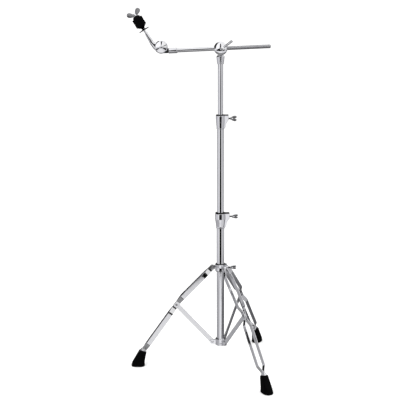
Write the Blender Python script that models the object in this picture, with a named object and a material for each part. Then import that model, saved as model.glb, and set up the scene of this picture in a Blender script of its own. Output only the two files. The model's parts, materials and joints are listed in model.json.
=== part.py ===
"""Boom stand for a cymbal: folding tripod, three-section column, tilting boom and cymbal tilter.

Metres, +Z up. The column stands beside the origin, so that the origin is at the middle of the
stand's footprint. The boom's cymbal end and one leg point along -X, and the boom clamp's lever
and the tilter's cap face -Y.
"""

import math

import bmesh
import bpy
from mathutils import Matrix, Vector

# ---------------------------------------------------------------- driving dimensions
GAP = 0.0003  # between pieces that touch
SLIDE = 0.0002  # between pieces that run in each other
ROUND, SMALL = 20, 12  # sides of a large and of a small round piece

# Tripod linkage
LEGS = {"left": 180.0, "front": -60.0, "back": 60.0}  # azimuth in degrees
PIVOT_RADIUS = 0.031  # leg and brace pivots from the column's axis
HUB_PIVOT_Z = 0.396
SPIDER_PIVOT_Z = 0.0985
LINK_LENGTH = 0.203  # leg pivot to brace pin, and brace pin to spider pivot
UPPER_ANGLE = math.radians(44.3)  # leg above its kink, from the vertical
LOWER_ANGLE = math.radians(35.3)  # leg below its kink
FOOT_RADIUS = 0.321  # middle of the sole from the column's axis
FOOT_TOP_Z = 0.0617
SOLE_LENGTH, SOLE_WIDTH = 0.0524, 0.038

# Leg strips, braces and their rivets
STRIP_WIDTH, STRIP_THICKNESS = 0.018, 0.0028
STRIP_SPREAD = 0.014  # a strip's middle from the leg's middle plane, where the strips are apart
STRIP_END = 0.028  # strips below the top of the foot
KINK_LENGTH = 0.024  # stretch over which a leg bends at its kink
BRACE_WIDTH, BRACE_THICKNESS = 0.017, 0.003
RIVET_RADIUS, RIVET_HEAD = 0.003, 0.0046
FERRULE_DEEP, FERRULE_PROUD = 0.0305, 0.0055  # below and above the top of the foot

# Hub and spider
CASTING_HALF = 0.013  # half the height of the hub's and of the spider's ring
HUB_LUG_THICKNESS = 0.008
HUB_SLEEVE_RADIUS = 0.0160
BOLT_HOLE_RADIUS = 0.0034

# Column
BASE_RADIUS, BASE_BORE = 0.0143, 0.0131
BASE_BOTTOM, BASE_TOP = 0.088, 0.588
MIDDLE_RADIUS, MIDDLE_BORE = 0.0127, 0.0115
MIDDLE_BOTTOM, MIDDLE_TOP = 0.430, 0.958
UPPER_RADIUS, UPPER_BORE = 0.0095, 0.0083
UPPER_BOTTOM, UPPER_TOP = 0.700, 1.186

# Height collars: radii at the bottom, waist and top, and how far the ear and the bolt reach
LOWER_COLLAR = {
    "top": 0.6085,
    "height": 0.0605,
    "radii": (0.0160, 0.0172, 0.0198),
    "ear": 0.0345,
    "outside": BASE_RADIUS,
    "inside": MIDDLE_RADIUS,
    "bolt_drop": 0.0150,
    "bolt_reach": 0.0434,
}
UPPER_COLLAR = {
    "top": 0.9785,
    "height": 0.0530,
    "radii": (0.0144, 0.0154, 0.0172),
    "ear": 0.0300,
    "outside": MIDDLE_RADIUS,
    "inside": UPPER_RADIUS,
    "bolt_drop": 0.0145,
    "bolt_reach": 0.0372,
}
FLANGE = 0.003  # thickness of the bush's flange on a collar
SEAT = 0.0205  # depth of a collar's wide mouth
EAR_HALF = 0.0075

# Wing screws
THREAD_RADIUS = 0.0030
WING_HUB_RADIUS = 0.0050
WING_HUB_LENGTH = 0.008
WING_REACH = 0.021

# Boom clamp and boom, seen along the boom's own axis
CLAMP_Z = 1.2205
BOOM_TILT = math.radians(-2.3)  # about +Y: the free end is raised
BOOM_Y = -0.024  # boom's axis in front of the column's axis
DISC_RADIUS = 0.0245
CLAMP_BACK = -0.0083  # front of the fixed disc; the clamp body starts GAP in front of it
CLAMP_FRONT = -0.0363
CAP_FRONT = -0.0440
SOCKET_BOTTOM = 1.1640
BOOM_RADIUS, BOOM_BORE = 0.0073, 0.0061
BOOM_LEFT, BOOM_STEP, BOOM_RIGHT = -0.1872, 0.022, 0.182
ROD_RADIUS = 0.0068
ROD_GRIP = 0.060  # length of the rod inside the tube
BUSH_RADIUS, BUSH_HALF = 0.0098, 0.0180
LEVER_X = 0.0050
LEVER_ANGLE = math.radians(-37)
FERRULE_LEFT, FERRULE_RIGHT, FERRULE_RADIUS = -0.1890, -0.1575, 0.0099
FERRULE_SCREW_X = -0.1665

# Cymbal tilter
TILTER_X, TILTER_Z = -0.2161, 1.2265
TILTER_RADIUS = 0.0238
TILTER_HALF = 0.0048  # half the thickness of the turning disc
FIXED_HALF = 0.0050  # half the thickness of the fixed disc
FIXED_Y = 0.0055  # middle of the fixed disc behind the boom's axis
CYMBAL_LEAN = math.radians(-32.0)  # about +Y: the rod leans away from the column
CYMBAL_ROD_OFFSET = -0.019  # rod's axis beside the tilter's axis
CYMBAL_ROD_RADIUS = 0.0044
CYMBAL_ROD_START = 0.0505
CYMBAL_Y = -0.029  # rod's axis in front of the column's axis
FELT_RADIUS, FELT_HEIGHT = 0.0198, 0.0162
WASHER_AT, FELT_AT, NUT_AT = 0.0850, 0.1003, 0.1417  # along the rod, from the tilter's axis
NUT_WING_REACH = 0.0245

# Worked out from the dimensions above
PIN_X = PIVOT_RADIUS + math.sqrt(LINK_LENGTH**2 - ((HUB_PIVOT_Z - SPIDER_PIVOT_Z) / 2) ** 2)
PIN_Z = (HUB_PIVOT_Z + SPIDER_PIVOT_Z) / 2
PIN_OUT, PIN_DOWN = PIN_X - PIVOT_RADIUS, PIN_Z - HUB_PIVOT_Z  # brace pin from the leg's pivot
FERRULE_OUT = PIN_OUT + (PIN_Z - FOOT_TOP_Z) * math.tan(LOWER_ANGLE)
COLUMN_X = (FOOT_RADIUS + SOLE_LENGTH / 2 - BOOM_RIGHT * math.cos(BOOM_TILT)) / 2

# Name, colour, roughness and metallic value
CHROME = ("chrome", (0.80, 0.80, 0.83), 0.08, 1.0)
CAST = ("cast_chrome", (0.74, 0.74, 0.78), 0.14, 1.0)
STEEL = ("bright_steel", (0.62, 0.62, 0.64), 0.25, 1.0)
KNURL = ("knurled_steel", (0.45, 0.45, 0.47), 0.40, 1.0)
RUBBER = ("rubber", (0.010, 0.010, 0.011), 0.70, 0.0)
NYLON = ("nylon", (0.015, 0.015, 0.016), 0.45, 0.0)
FELT = ("felt", (0.008, 0.008, 0.009), 1.00, 0.0)

for thing in list(bpy.data.objects):
    bpy.data.objects.remove(thing, do_unlink=True)


# ---------------------------------------------------------------- objects and materials
def material(name, look):
    """A Principled material of that look for one piece."""
    finish, colour, roughness, metallic = look
    made = bpy.data.materials.new(f"{name}_{finish}")
    made.use_nodes = True
    shader = made.node_tree.nodes["Principled BSDF"]
    shader.inputs["Base Color"].default_value = (*colour, 1.0)
    shader.inputs["Roughness"].default_value = roughness
    shader.inputs["Metallic"].default_value = metallic
    return made


def empty(name, parent=None, at=(0, 0, 0), turn=(0, 0, 0)):
    """A frame that pieces hang on, with its origin on their joint's axis."""
    made = bpy.data.objects.new(name, None)
    bpy.context.collection.objects.link(made)
    made.parent = parent
    made.location = at
    made.rotation_euler = turn
    return made


def piece(name, mesh, look, parent):
    """One named sub-part."""
    made = bpy.data.objects.new(name, mesh)
    bpy.context.collection.objects.link(made)
    made.parent = parent
    mesh.materials.clear()
    mesh.materials.append(material(name, look))
    mesh.shade_smooth()
    mesh.set_sharp_from_angle(angle=math.radians(32))


def to_mesh(build):
    """Close a bmesh: merged points, faces pointing out."""
    bmesh.ops.remove_doubles(build, verts=build.verts, dist=1e-6)
    bmesh.ops.recalc_face_normals(build, faces=build.faces)
    bmesh.ops.triangulate(build, faces=[face for face in build.faces if len(face.verts) > 4])
    mesh = bpy.data.meshes.new("shape")
    build.to_mesh(mesh)
    build.free()
    return mesh


def moved(mesh, at=(0, 0, 0), turn=(0, 0, 0)):
    """The mesh turned about X, Y and Z (radians), then moved."""
    x, y, z = turn
    spin = Matrix.Rotation(z, 4, "Z") @ Matrix.Rotation(y, 4, "Y") @ Matrix.Rotation(x, 4, "X")
    mesh.transform(Matrix.Translation(at) @ spin)
    return mesh


def combined(base, joined=(), cut=()):
    """The base mesh with others joined to it and then others cut from it."""
    helpers = []

    def helper(mesh):
        made = bpy.data.objects.new("helper", mesh)
        bpy.context.collection.objects.link(made)
        helpers.append(made)
        return made

    body = helper(base)
    for operation, meshes in (("UNION", joined), ("DIFFERENCE", cut)):
        for mesh in meshes:
            boolean = body.modifiers.new(operation, "BOOLEAN")
            boolean.operation = operation
            boolean.solver = "EXACT"
            boolean.object = helper(mesh)
    bpy.context.view_layer.update()
    graph = bpy.context.evaluated_depsgraph_get()
    result = bpy.data.meshes.new_from_object(body.evaluated_get(graph))
    for made in helpers:
        bpy.data.objects.remove(made, do_unlink=True)
    clean = bmesh.new()
    clean.from_mesh(result)
    bmesh.ops.triangulate(clean, faces=clean.faces)
    bmesh.ops.remove_doubles(clean, verts=clean.verts, dist=1e-6)
    clean.to_mesh(result)
    clean.free()
    return result


# ---------------------------------------------------------------- shapes
def turned(profile, steps=ROUND):
    """A profile of (radius, height) points spun about Z; a profile off the axis is a ring."""
    build = bmesh.new()
    rings = []
    for radius, height in profile:
        if radius < 1e-7:
            rings.append([build.verts.new((0, 0, height))])
            continue
        ring = []
        for n in range(steps):
            a = 2 * math.pi * n / steps
            ring.append(build.verts.new((radius * math.cos(a), radius * math.sin(a), height)))
        rings.append(ring)
    on_axis = len(rings[0]) == 1 and len(rings[-1]) == 1
    last = len(rings) - 1 if on_axis else len(rings)
    for n in range(last):
        low, high = rings[n], rings[(n + 1) % len(rings)]
        for k in range(steps):
            corners = [low[k % len(low)], low[(k + 1) % len(low)]]
            corners += [high[(k + 1) % len(high)], high[k % len(high)]]
            corners = list(dict.fromkeys(corners))
            if len(corners) > 2:
                build.faces.new(corners)
    return to_mesh(build)


def tube(outer, inner, low, high):
    """A tube along Z."""
    return turned([(inner, low), (outer, low), (outer, high), (inner, high)])


def rod(radius, low, high, steps=ROUND, soften=0.0):
    """A solid round bar along Z, with broken edges if soften is given."""
    ends = [(radius, low), (radius, high)]
    if soften:
        ends = [(radius - soften, low), (radius, low + soften)]
        ends += [(radius, high - soften), (radius - soften, high)]
    return turned([(0, low), *ends, (0, high)], steps)


def along_x(mesh):
    """A shape along Z laid along +X."""
    return moved(mesh, turn=(0, math.pi / 2, 0))


def along_y(mesh):
    """A shape along Z laid along -Y, so that its top faces the front."""
    return moved(mesh, turn=(math.pi / 2, 0, 0))


def prism(outline, low, high, soften=0.0):
    """An outline of (x, z) points extruded from y = low to y = high, its rims chamfered."""
    build = bmesh.new()
    middle = Vector((sum(x for x, _ in outline), sum(z for _, z in outline))) / len(outline)
    reach = max((Vector(point) - middle).length for point in outline)
    levels = [(low, 1.0), (high, 1.0)]
    if soften:
        small = 1 - soften / reach
        levels = [(low, small), (low + soften, 1.0), (high - soften, 1.0), (high, small)]
    rings = []
    for y, scale in levels:
        ring = []
        for x, z in outline:
            at = middle + (Vector((x, z)) - middle) * scale
            ring.append(build.verts.new((at.x, y, at.y)))
        rings.append(ring)
    skin(build, rings)
    return to_mesh(build)


def skin(build, rings):
    """Faces between rings of equally many points, and a cap on the first and the last."""
    build.faces.new(rings[0])
    build.faces.new(rings[-1])
    for low, high in zip(rings, rings[1:]):
        count = len(low)
        for k in range(count):
            nxt = (k + 1) % count
            build.faces.new((low[k], low[nxt], high[nxt], high[k]))


def arc(x, z, radius, start, end, steps):
    """Points on an arc, from start to end in degrees."""
    angles = (math.radians(start + (end - start) * n / steps) for n in range(steps + 1))
    return [(x + radius * math.cos(a), z + radius * math.sin(a)) for a in angles]


def tongue(inner, outer, half, low, high, z=0.0):
    """A lug from x = inner to a round end about x = outer, from y = low to y = high."""
    outline = [(inner, z - half), *arc(outer, z, half, -90, 90, 6), (inner, z + half)]
    return prism(outline, low, high)


def stack(sections, power=2.6, steps=16):
    """Rounded rectangles at rising heights: each (x, z, half length, half width, slope)."""
    build = bmesh.new()
    rings = []
    for x, z, half_length, half_width, slope in sections:
        ring = []
        for n in range(steps):
            a = 2 * math.pi * n / steps
            u = math.copysign(abs(math.cos(a)) ** (2 / power), math.cos(a)) * half_length
            v = math.copysign(abs(math.sin(a)) ** (2 / power), math.sin(a)) * half_width
            ring.append(build.verts.new((x + u, v, z + u * slope)))
        rings.append(ring)
    skin(build, rings)
    return to_mesh(build)


def block(x, y, z, at=(0, 0, 0)):
    """A box of that size about a point."""
    build = bmesh.new()
    bmesh.ops.create_cube(build, size=1.0)
    bmesh.ops.scale(build, vec=(x, y, z), verts=build.verts)
    return moved(to_mesh(build), at)


def rivet(half_grip):
    """A rivet along Y: a round pin with a domed head outside each side of its grip."""
    reach = half_grip + GAP
    dome = reach + 0.0015
    flat = RIVET_HEAD * 0.7
    profile = [(0, -dome), (flat, -dome), (RIVET_HEAD, -reach), (RIVET_RADIUS, -reach)]
    profile += [(RIVET_RADIUS, reach), (RIVET_HEAD, reach), (flat, dome), (0, dome)]
    return along_y(turned(profile, SMALL))


def rivet_hole(half_length, at=(0, 0, 0), clearance=SLIDE):
    """A cutter for a rivet's hole, along Y."""
    return moved(along_y(rod(RIVET_RADIUS + clearance, -half_length, half_length, SMALL)), at)


def bolt_hole(low, high, drop=0.0):
    """A cutter for a wing screw's hole, along X."""
    return moved(along_x(rod(BOLT_HOLE_RADIUS, low, high, SMALL)), (0, 0, -drop))


def wing_screw(shank, hub, reach):
    """A wing screw along +X: threaded shank from x = 0, hub, and two wings swept outwards."""
    thread = [(0, 0), (0.0024, 0), (THREAD_RADIUS, 0.0008), (THREAD_RADIUS, shank)] if shank else [(0, 0)]
    bar = [*thread, (WING_HUB_RADIUS, shank), (WING_HUB_RADIUS, shank + hub), (0, shank + hub)]
    body = along_x(turned(bar, SMALL))
    lean = math.radians(46)
    wings = []
    for side in (1, -1):
        outline = []
        for x, z in arc(0, 0, 1, 0, 324, 9):
            along, across = x * reach * 0.46, z * reach * 0.27
            ahead = along * math.cos(lean) - across * math.sin(lean)
            aside = along * math.sin(lean) + across * math.cos(lean)
            start = shank + hub * 0.60 + reach * 0.36
            outline.append((start + ahead, side * (WING_HUB_RADIUS + reach * 0.24 + aside)))
        wings.append(prism(outline, -0.0019, 0.0019))
    return combined(body, joined=wings)


# ---------------------------------------------------------------- tripod
def casting_ring(edge_radius, radius):
    """The solid ring of the hub or of the spider, before its bore is cut."""
    half, edge = CASTING_HALF, CASTING_HALF - 0.0015
    profile = [(0, -half), (edge_radius, -half), (radius, -edge)]
    profile += [(radius, edge), (edge_radius, half), (0, half)]
    return turned(profile)


def hub_and_bolt(column):
    """The sliding hub: a ring with three tongues for the legs and a boss for its wing bolt."""
    lift = 0.001  # the pivots above the ring's middle
    frame = empty("hub_frame", column, (0, 0, HUB_PIVOT_Z - lift))
    half_lug = HUB_LUG_THICKNESS / 2
    lugs, cuts = [], [rod(HUB_SLEEVE_RADIUS + GAP, -0.03, 0.03)]
    for azimuth in LEGS.values():
        turn = (0, 0, math.radians(azimuth))
        lugs.append(moved(tongue(0.012, PIVOT_RADIUS, 0.0082, -half_lug, half_lug, lift), turn=turn))
        cuts.append(moved(rivet_hole(0.01, (PIVOT_RADIUS, 0, lift)), turn=turn))
    boss = along_x(rod(0.0062, 0.012, 0.0300, SMALL, 0.0008))
    cuts.append(bolt_hole(0.010, 0.0320))
    piece("leg_hub", combined(casting_ring(0.0186, 0.0200), [*lugs, boss], cuts), CAST, frame)

    end = CASTING_HALF + 0.0012
    sleeve = tube(HUB_SLEEVE_RADIUS, BASE_RADIUS + GAP, -end, end)
    piece("hub_bush", combined(sleeve, cut=[bolt_hole(0.010, 0.02)]), NYLON, frame)
    for name, azimuth in LEGS.items():
        pin = moved(rivet(half_lug + GAP + STRIP_THICKNESS), (PIVOT_RADIUS, 0, lift))
        piece(f"{name}_hub_rivet", moved(pin, turn=(0, 0, math.radians(azimuth))), STEEL, frame)
    bolt = empty("hub_bolt_frame", frame, (BASE_RADIUS + GAP, 0, 0))
    screw = wing_screw(0.0235, WING_HUB_LENGTH, WING_REACH)
    piece("hub_wing_bolt", moved(screw, turn=(math.radians(62), 0, 0)), STEEL, bolt)


def spider(column):
    """The casting round the bottom of the base tube, with a riveted clevis for each brace."""
    frame = empty("spider_frame", column, (0, 0, SPIDER_PIVOT_Z))
    cheek_inner, cheek_outer = BRACE_THICKNESS / 2 + 0.0005, BRACE_THICKNESS / 2 + 0.0031
    joined = []
    for azimuth in LEGS.values():
        turn = (0, 0, math.radians(azimuth))
        for side in (1, -1):
            low, high = sorted((side * cheek_inner, side * cheek_outer))
            joined.append(moved(tongue(0.012, PIVOT_RADIUS + 0.001, 0.0088, low, high), turn=turn))
            seat = cheek_outer - 0.0002
            head = turned([(0, seat), (RIVET_HEAD, seat), (0.0032, seat + 0.0019), (0, seat + 0.0019)], SMALL)
            head = moved(head, (PIVOT_RADIUS, 0, 0), (-side * math.pi / 2, 0, 0))
            joined.append(moved(head, turn=turn))
    bore = rod(BASE_RADIUS + GAP, -0.03, 0.03)
    piece("spider", combined(casting_ring(0.0180, 0.0195), joined, [bore]), CAST, frame)


def leg_lengths():
    """Distances along the leg's middle line from its pivot: to the kink, the pin and the foot."""
    pin = Vector((PIN_OUT, PIN_DOWN))
    upper = Vector((math.sin(UPPER_ANGLE), -math.cos(UPPER_ANGLE)))
    lower = Vector((math.sin(LOWER_ANGLE), -math.cos(LOWER_ANGLE)))
    kink = (pin.x * lower.y - pin.y * lower.x) / (upper.x * lower.y - upper.y * lower.x)
    pin_at = kink + (pin - upper * kink).length
    return kink, pin_at, pin_at + (PIN_Z - FOOT_TOP_Z) / math.cos(LOWER_ANGLE)


def leg_point(s):
    """Leg's middle line at distance s from its pivot: x outwards and z up, and its angle."""
    kink, _, _ = leg_lengths()
    upper = Vector((math.sin(UPPER_ANGLE), -math.cos(UPPER_ANGLE)))
    lower = Vector((math.sin(LOWER_ANGLE), -math.cos(LOWER_ANGLE)))
    blend = min(1.0, max(0.0, (s - kink) / KINK_LENGTH + 0.5))
    angle = UPPER_ANGLE + (LOWER_ANGLE - UPPER_ANGLE) * blend
    return upper * min(s, kink) + lower * max(0.0, s - kink), angle


def leg_strip(side):
    """A flat steel strip: together at the hub, the waist and the foot, and apart between them."""
    kink, pin, foot = leg_lengths()
    at_hub = HUB_LUG_THICKNESS / 2 + GAP + STRIP_THICKNESS / 2
    at_waist = BRACE_THICKNESS / 2 + GAP + STRIP_THICKNESS / 2
    at_foot = STRIP_THICKNESS / 2 + GAP
    bends = [
        (0.012, 0.045, at_hub, STRIP_SPREAD),
        (pin - 0.042, pin - 0.0105, STRIP_SPREAD, at_waist),
        (pin + 0.0105, pin + 0.042, at_waist, STRIP_SPREAD),
        (foot - 0.040, foot - 0.006, STRIP_SPREAD, at_foot),
    ]
    half = STRIP_WIDTH / 2
    stations = [(kink, half), (foot + STRIP_END, half)]
    for degrees in (74, 48, 22, 0):  # the round end at the hub
        a = math.radians(degrees)
        stations.append((-half * math.sin(a), half * math.cos(a)))
    for start, end, _, _ in bends:
        stations += [(start + (end - start) * n / 3, half) for n in range(4)]
    build = bmesh.new()
    rings = []
    for s, width in sorted(stations):
        y = at_hub
        for start, end, before, after in bends:
            t = min(1.0, max(0.0, (s - start) / (end - start)))
            if t > 0:
                y = before + (after - before) * t * t * (3 - 2 * t)
        at, angle = leg_point(s)
        across = Vector((math.cos(angle), math.sin(angle))) * width
        ring = []
        for u, v in ((1, 1), (1, -1), (-1, -1), (-1, 1)):
            deep = side * y + v * STRIP_THICKNESS / 2
            ring.append(build.verts.new((at.x + across.x * u, deep, at.y + across.y * u)))
        rings.append(ring)
    skin(build, rings)
    return combined(to_mesh(build), cut=[rivet_hole(0.02), rivet_hole(0.02, (PIN_OUT, 0, PIN_DOWN))])


def ferrule():
    """A flat sleeve round both strips, sunk into the foot."""
    sections = [
        (0, -FERRULE_DEEP, 0.0118, 0.0060, 0),
        (0, FERRULE_PROUD - 0.001, 0.0118, 0.0060, 0),
        (0, FERRULE_PROUD, 0.0110, 0.0053, 0),
    ]
    slot = block(STRIP_WIDTH + 2 * GAP, 2 * (STRIP_THICKNESS + 2 * GAP), 0.1)
    return at_foot_top(combined(stack(sections, 4.5), cut=[slot]))


def at_foot_top(mesh):
    """A shape along the leg's lower run, with its origin at the top of the foot."""
    return moved(mesh, (FERRULE_OUT, 0, FOOT_TOP_Z - HUB_PIVOT_Z), (0, -LOWER_ANGLE, 0))


def foot():
    """Rubber foot: it flares from the ferrule to a flat sole."""
    sections = [
        (0.0000, 0.0000, 0.0225, 0.0150, 0.00),
        (0.0000, 0.0010, 0.0246, 0.0172, 0.00),
        (0.0000, 0.0042, SOLE_LENGTH / 2, SOLE_WIDTH / 2, 0.00),
        (-0.0007, 0.0120, 0.0250, 0.0184, 0.04),
        (-0.0070, 0.0300, 0.0208, 0.0166, 0.12),
        (-0.0152, 0.0500, 0.0163, 0.0144, 0.26),
        (-0.0188, 0.0590, 0.0146, 0.0132, 0.32),
        (-0.0198, 0.0612, 0.0132, 0.0118, 0.32),
    ]
    shape = moved(stack(sections), (FOOT_RADIUS - PIVOT_RADIUS, 0, -HUB_PIVOT_Z))
    pocket = stack([(0, -FERRULE_DEEP - GAP, 0.0121, 0.0063, 0), (0, 0.02, 0.0121, 0.0063, 0)], 4.5)
    return combined(shape, cut=[at_foot_top(pocket)])


def brace():
    """The flat link from the leg's pin down to the spider, with two spare holes."""
    half = BRACE_WIDTH / 2
    outline = [*arc(0, 0, half, 0, 180, 6), *arc(0, -LINK_LENGTH, half, 180, 360, 6)]
    band = prism(outline, -BRACE_THICKNESS / 2, BRACE_THICKNESS / 2)
    holes = [rivet_hole(0.01), rivet_hole(0.01, (0, 0, -LINK_LENGTH), GAP)]
    for share in (0.22, 0.33):
        holes.append(rivet_hole(0.01, (0, 0, -LINK_LENGTH * share), -0.0010))
    return moved(combined(band, cut=holes), turn=(0, math.atan2(PIN_OUT, -PIN_DOWN), 0))


def leg(name, azimuth, column):
    """One leg of two strips with its foot, and the brace on its pin."""
    turn = math.radians(azimuth)
    pivot = (PIVOT_RADIUS * math.cos(turn), PIVOT_RADIUS * math.sin(turn), HUB_PIVOT_Z)
    frame = empty("leg_frame_" + name, column, pivot, (0, 0, turn))
    piece(f"{name}_leg_strip_a", leg_strip(-1), CHROME, frame)
    piece(f"{name}_leg_strip_b", leg_strip(1), CHROME, frame)
    pin = rivet(BRACE_THICKNESS / 2 + GAP + STRIP_THICKNESS)
    piece(f"{name}_brace_pin", moved(pin, (PIN_OUT, 0, PIN_DOWN)), STEEL, frame)
    piece(f"{name}_ferrule", ferrule(), CHROME, frame)
    piece(f"{name}_foot", foot(), RUBBER, frame)
    brace_frame = empty("brace_frame_" + name, frame, (PIN_OUT, 0, PIN_DOWN))
    piece(f"{name}_brace", brace(), CHROME, brace_frame)


# ---------------------------------------------------------------- column
def guide(name, bore, wall, bottom, column):
    """A nylon plug in the bottom of a tube, with a lip that runs in the tube outside it."""
    lip, plug = wall - SLIDE, bore - GAP
    low, high = bottom - 0.0063, bottom + 0.0148
    profile = [(0, low), (lip - 0.0008, low), (lip, low + 0.0008), (lip, bottom - GAP)]
    profile += [(plug, bottom - GAP), (plug, high - 0.0008), (plug - 0.0008, high), (0, high)]
    piece(name, turned(profile), NYLON, column)


def collar(name, column, sizes):
    """A height collar: casting with an ear for its wing bolt, and a black bush in its mouth."""
    low, waist, high = sizes["radii"]
    height, ear, drop = sizes["height"], sizes["ear"], sizes["bolt_drop"]
    top = -FLANGE - GAP
    frame = empty(name + "_frame", column, (0, 0, sizes["top"]))
    profile = [(0, -height), (low - 0.0012, -height), (low, -height + 0.004)]
    profile += [(waist, -height * 0.62), (high, -height * 0.30), (high, top), (0, top)]
    side = [(0.004, top), (ear, top), (ear, -height * 0.34), (ear * 0.72, -height * 0.60)]
    side += [(ear * 0.63, -height * 0.86), (low + SLIDE, -height + 0.0012), (0.004, -height + 0.0012)]
    cuts = [
        rod(sizes["outside"] + GAP, -height - 0.01, -SEAT),
        rod(sizes["outside"] + 0.0001, -SEAT - 0.0005, 0.01),
        bolt_hole(0.008, 0.06, drop),
    ]
    casting = combined(turned(profile), [prism(side, -EAR_HALF, EAR_HALF)], cuts)
    piece(name, casting, CAST, frame)

    # Bush: a sleeve that the inner tube runs in, under a flange over the casting's whole top
    flange = [*arc(0, 0, high - 0.0004, 30, 330, 14), (ear - 0.0008, -EAR_HALF + 0.0006)]
    flange += [(ear - 0.0002, 0), (ear - 0.0008, EAR_HALF - 0.0006)]
    plate = moved(prism(flange, -FLANGE, 0), turn=(math.pi / 2, 0, 0))
    sleeve = rod(sizes["outside"] - SLIDE, -SEAT + GAP, -0.001)
    bore = rod(sizes["inside"] + SLIDE, -0.03, 0.01)
    bush = combined(plate, [sleeve], [bore, bolt_hole(0.004, 0.03, drop)])
    piece(name + "_bush", bush, NYLON, frame)

    start = sizes["inside"] + GAP
    bolt = empty(name + "_bolt_frame", frame, (start, 0, -drop))
    screw = wing_screw(sizes["bolt_reach"] - start, WING_HUB_LENGTH, WING_REACH)
    screw = moved(screw, turn=(math.radians(64), 0, 0))
    piece(name.replace("collar", "wing_bolt"), screw, STEEL, bolt)


def column_pieces(column):
    """The three tubes with what is fixed to them."""
    piece("base_tube", tube(BASE_RADIUS, BASE_BORE, BASE_BOTTOM, BASE_TOP), CHROME, column)
    low, seat, high = BASE_BOTTOM - 0.0035, BASE_BOTTOM - GAP, BASE_BOTTOM + 0.012
    plug = BASE_BORE - GAP
    profile = [(0, low), (BASE_RADIUS - 0.001, low), (BASE_RADIUS, low + 0.001), (BASE_RADIUS, seat)]
    profile += [(plug, seat), (plug, high), (0, high)]
    piece("base_tube_plug", turned(profile), NYLON, column)
    collar("lower_collar", column, LOWER_COLLAR)

    guide("middle_tube_guide", MIDDLE_BORE, BASE_BORE, MIDDLE_BOTTOM, column)
    piece("middle_tube", tube(MIDDLE_RADIUS, MIDDLE_BORE, MIDDLE_BOTTOM, MIDDLE_TOP), CHROME, column)
    collar("upper_collar", column, UPPER_COLLAR)

    guide("upper_tube_guide", UPPER_BORE, MIDDLE_BORE, UPPER_BOTTOM, column)
    piece("upper_tube", tube(UPPER_RADIUS, UPPER_BORE, UPPER_BOTTOM, UPPER_TOP), CHROME, column)


# ---------------------------------------------------------------- boom clamp and boom
def boom_holder(column):
    """Socket on the upper tube, with the fixed disc that the clamp turns against, and its bolt."""
    frame = empty("boom_holder_frame", column, (0, 0, CLAMP_Z))
    low = SOCKET_BOTTOM - CLAMP_Z
    cone = [(0, low), (0.0112, low), (0.0120, low + 0.001), (0.0150, -0.0300)]
    cone += [(0.0122, -0.0252), (0.0080, -0.0251), (0.0080, -0.0180), (0, -0.0180)]
    back, front = -0.0100, -CLAMP_BACK
    disc = [(0, back), (DISC_RADIUS - 0.0030, back), (DISC_RADIUS - 0.0008, back + 0.0020)]
    disc += [(DISC_RADIUS, back + 0.0045), (DISC_RADIUS, front - 0.0006)]
    disc += [(DISC_RADIUS - 0.0006, front), (0, front)]
    cuts = [rod(UPPER_RADIUS + GAP, low - 0.01, UPPER_TOP - CLAMP_Z + GAP), rivet_hole(0.03)]
    piece("boom_holder", combined(turned(cone), [along_y(turned(disc))], cuts), CAST, frame)

    head, seat, tip = -0.0152, back - GAP, 0.0125
    bolt = [(0, head), (0.0050, head), (0.0066, head + 0.0012), (0.0066, seat)]
    bolt += [(RIVET_RADIUS, seat), (RIVET_RADIUS, tip), (0, tip)]
    piece("tilt_pivot_bolt", along_y(turned(bolt, SMALL)), STEEL, frame)


def boom_clamp(column):
    """The turning half of the clamp: body, bush, domed cap and lever."""
    frame = empty("boom_tilt_frame", column, (0, 0, CLAMP_Z), (0, BOOM_TILT, 0))
    back, front = -CLAMP_BACK + GAP, -CLAMP_FRONT
    cuts = [
        moved(along_x(rod(BUSH_RADIUS + GAP, -0.04, 0.04)), (0, BOOM_Y, 0)),
        rivet_hole(0.0130),
        moved(along_y(rod(BOLT_HOLE_RADIUS, 0.030, 0.05, SMALL)), (LEVER_X, 0, 0)),
    ]
    body = along_y(rod(DISC_RADIUS - GAP, back, front, ROUND, 0.0006))
    piece("boom_clamp_body", combined(body, cut=cuts), CAST, frame)

    dome = [(0, front + GAP), (0.0238, front + GAP), (0.0240, front + 0.0012), (0.0222, front + 0.0026)]
    dome += [(0.0180, front + 0.0050), (0.0120, front + 0.0068)]
    dome += [(0.0060, -CAP_FRONT - SLIDE), (0, -CAP_FRONT)]
    lever_hole = moved(along_y(rod(BOLT_HOLE_RADIUS, 0.030, 0.06, SMALL)), (LEVER_X, 0, 0))
    piece("boom_clamp_cap", combined(along_y(turned(dome)), cut=[lever_hole]), CHROME, frame)

    # Split bush: a sleeve with a groove along it
    bush_frame = empty("boom_bush_frame", frame, (0, BOOM_Y, 0))
    sleeve = along_x(tube(BUSH_RADIUS, BOOM_RADIUS + SLIDE, -BUSH_HALF, BUSH_HALF))
    split = block(0.1, 0.0016, 0.006, (0, 0, 0.009))
    piece("boom_bush", combined(sleeve, cut=[split]), NYLON, bush_frame)

    # Lever: screw, round boss and a straight handle
    lever_frame = empty("boom_lever_frame", frame, (LEVER_X, 0, 0))
    tip, seat, top = -BOOM_Y + BUSH_RADIUS + 2 * GAP, 0.0445, 0.0552
    boss = [(0, tip), (THREAD_RADIUS, tip), (THREAD_RADIUS, seat), (0.0078, seat), (0.0082, seat + 0.0015)]
    boss += [(0.0082, top - 0.0037), (0.0066, top - 0.0012), (0.0030, top), (0, top)]
    grip = [(0, 0), (0.0036, 0), (0.0042, 0.0300), (0.0044, 0.0420), (0.0034, 0.0450), (0, 0.0462)]
    handle = moved(along_x(turned(grip, SMALL)), turn=(0, LEVER_ANGLE - BOOM_TILT, 0))
    handle = moved(handle, (0, -0.0495, 0))
    piece("boom_clamp_lever", combined(along_y(turned(boss)), [handle]), CHROME, lever_frame)
    return bush_frame


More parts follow.
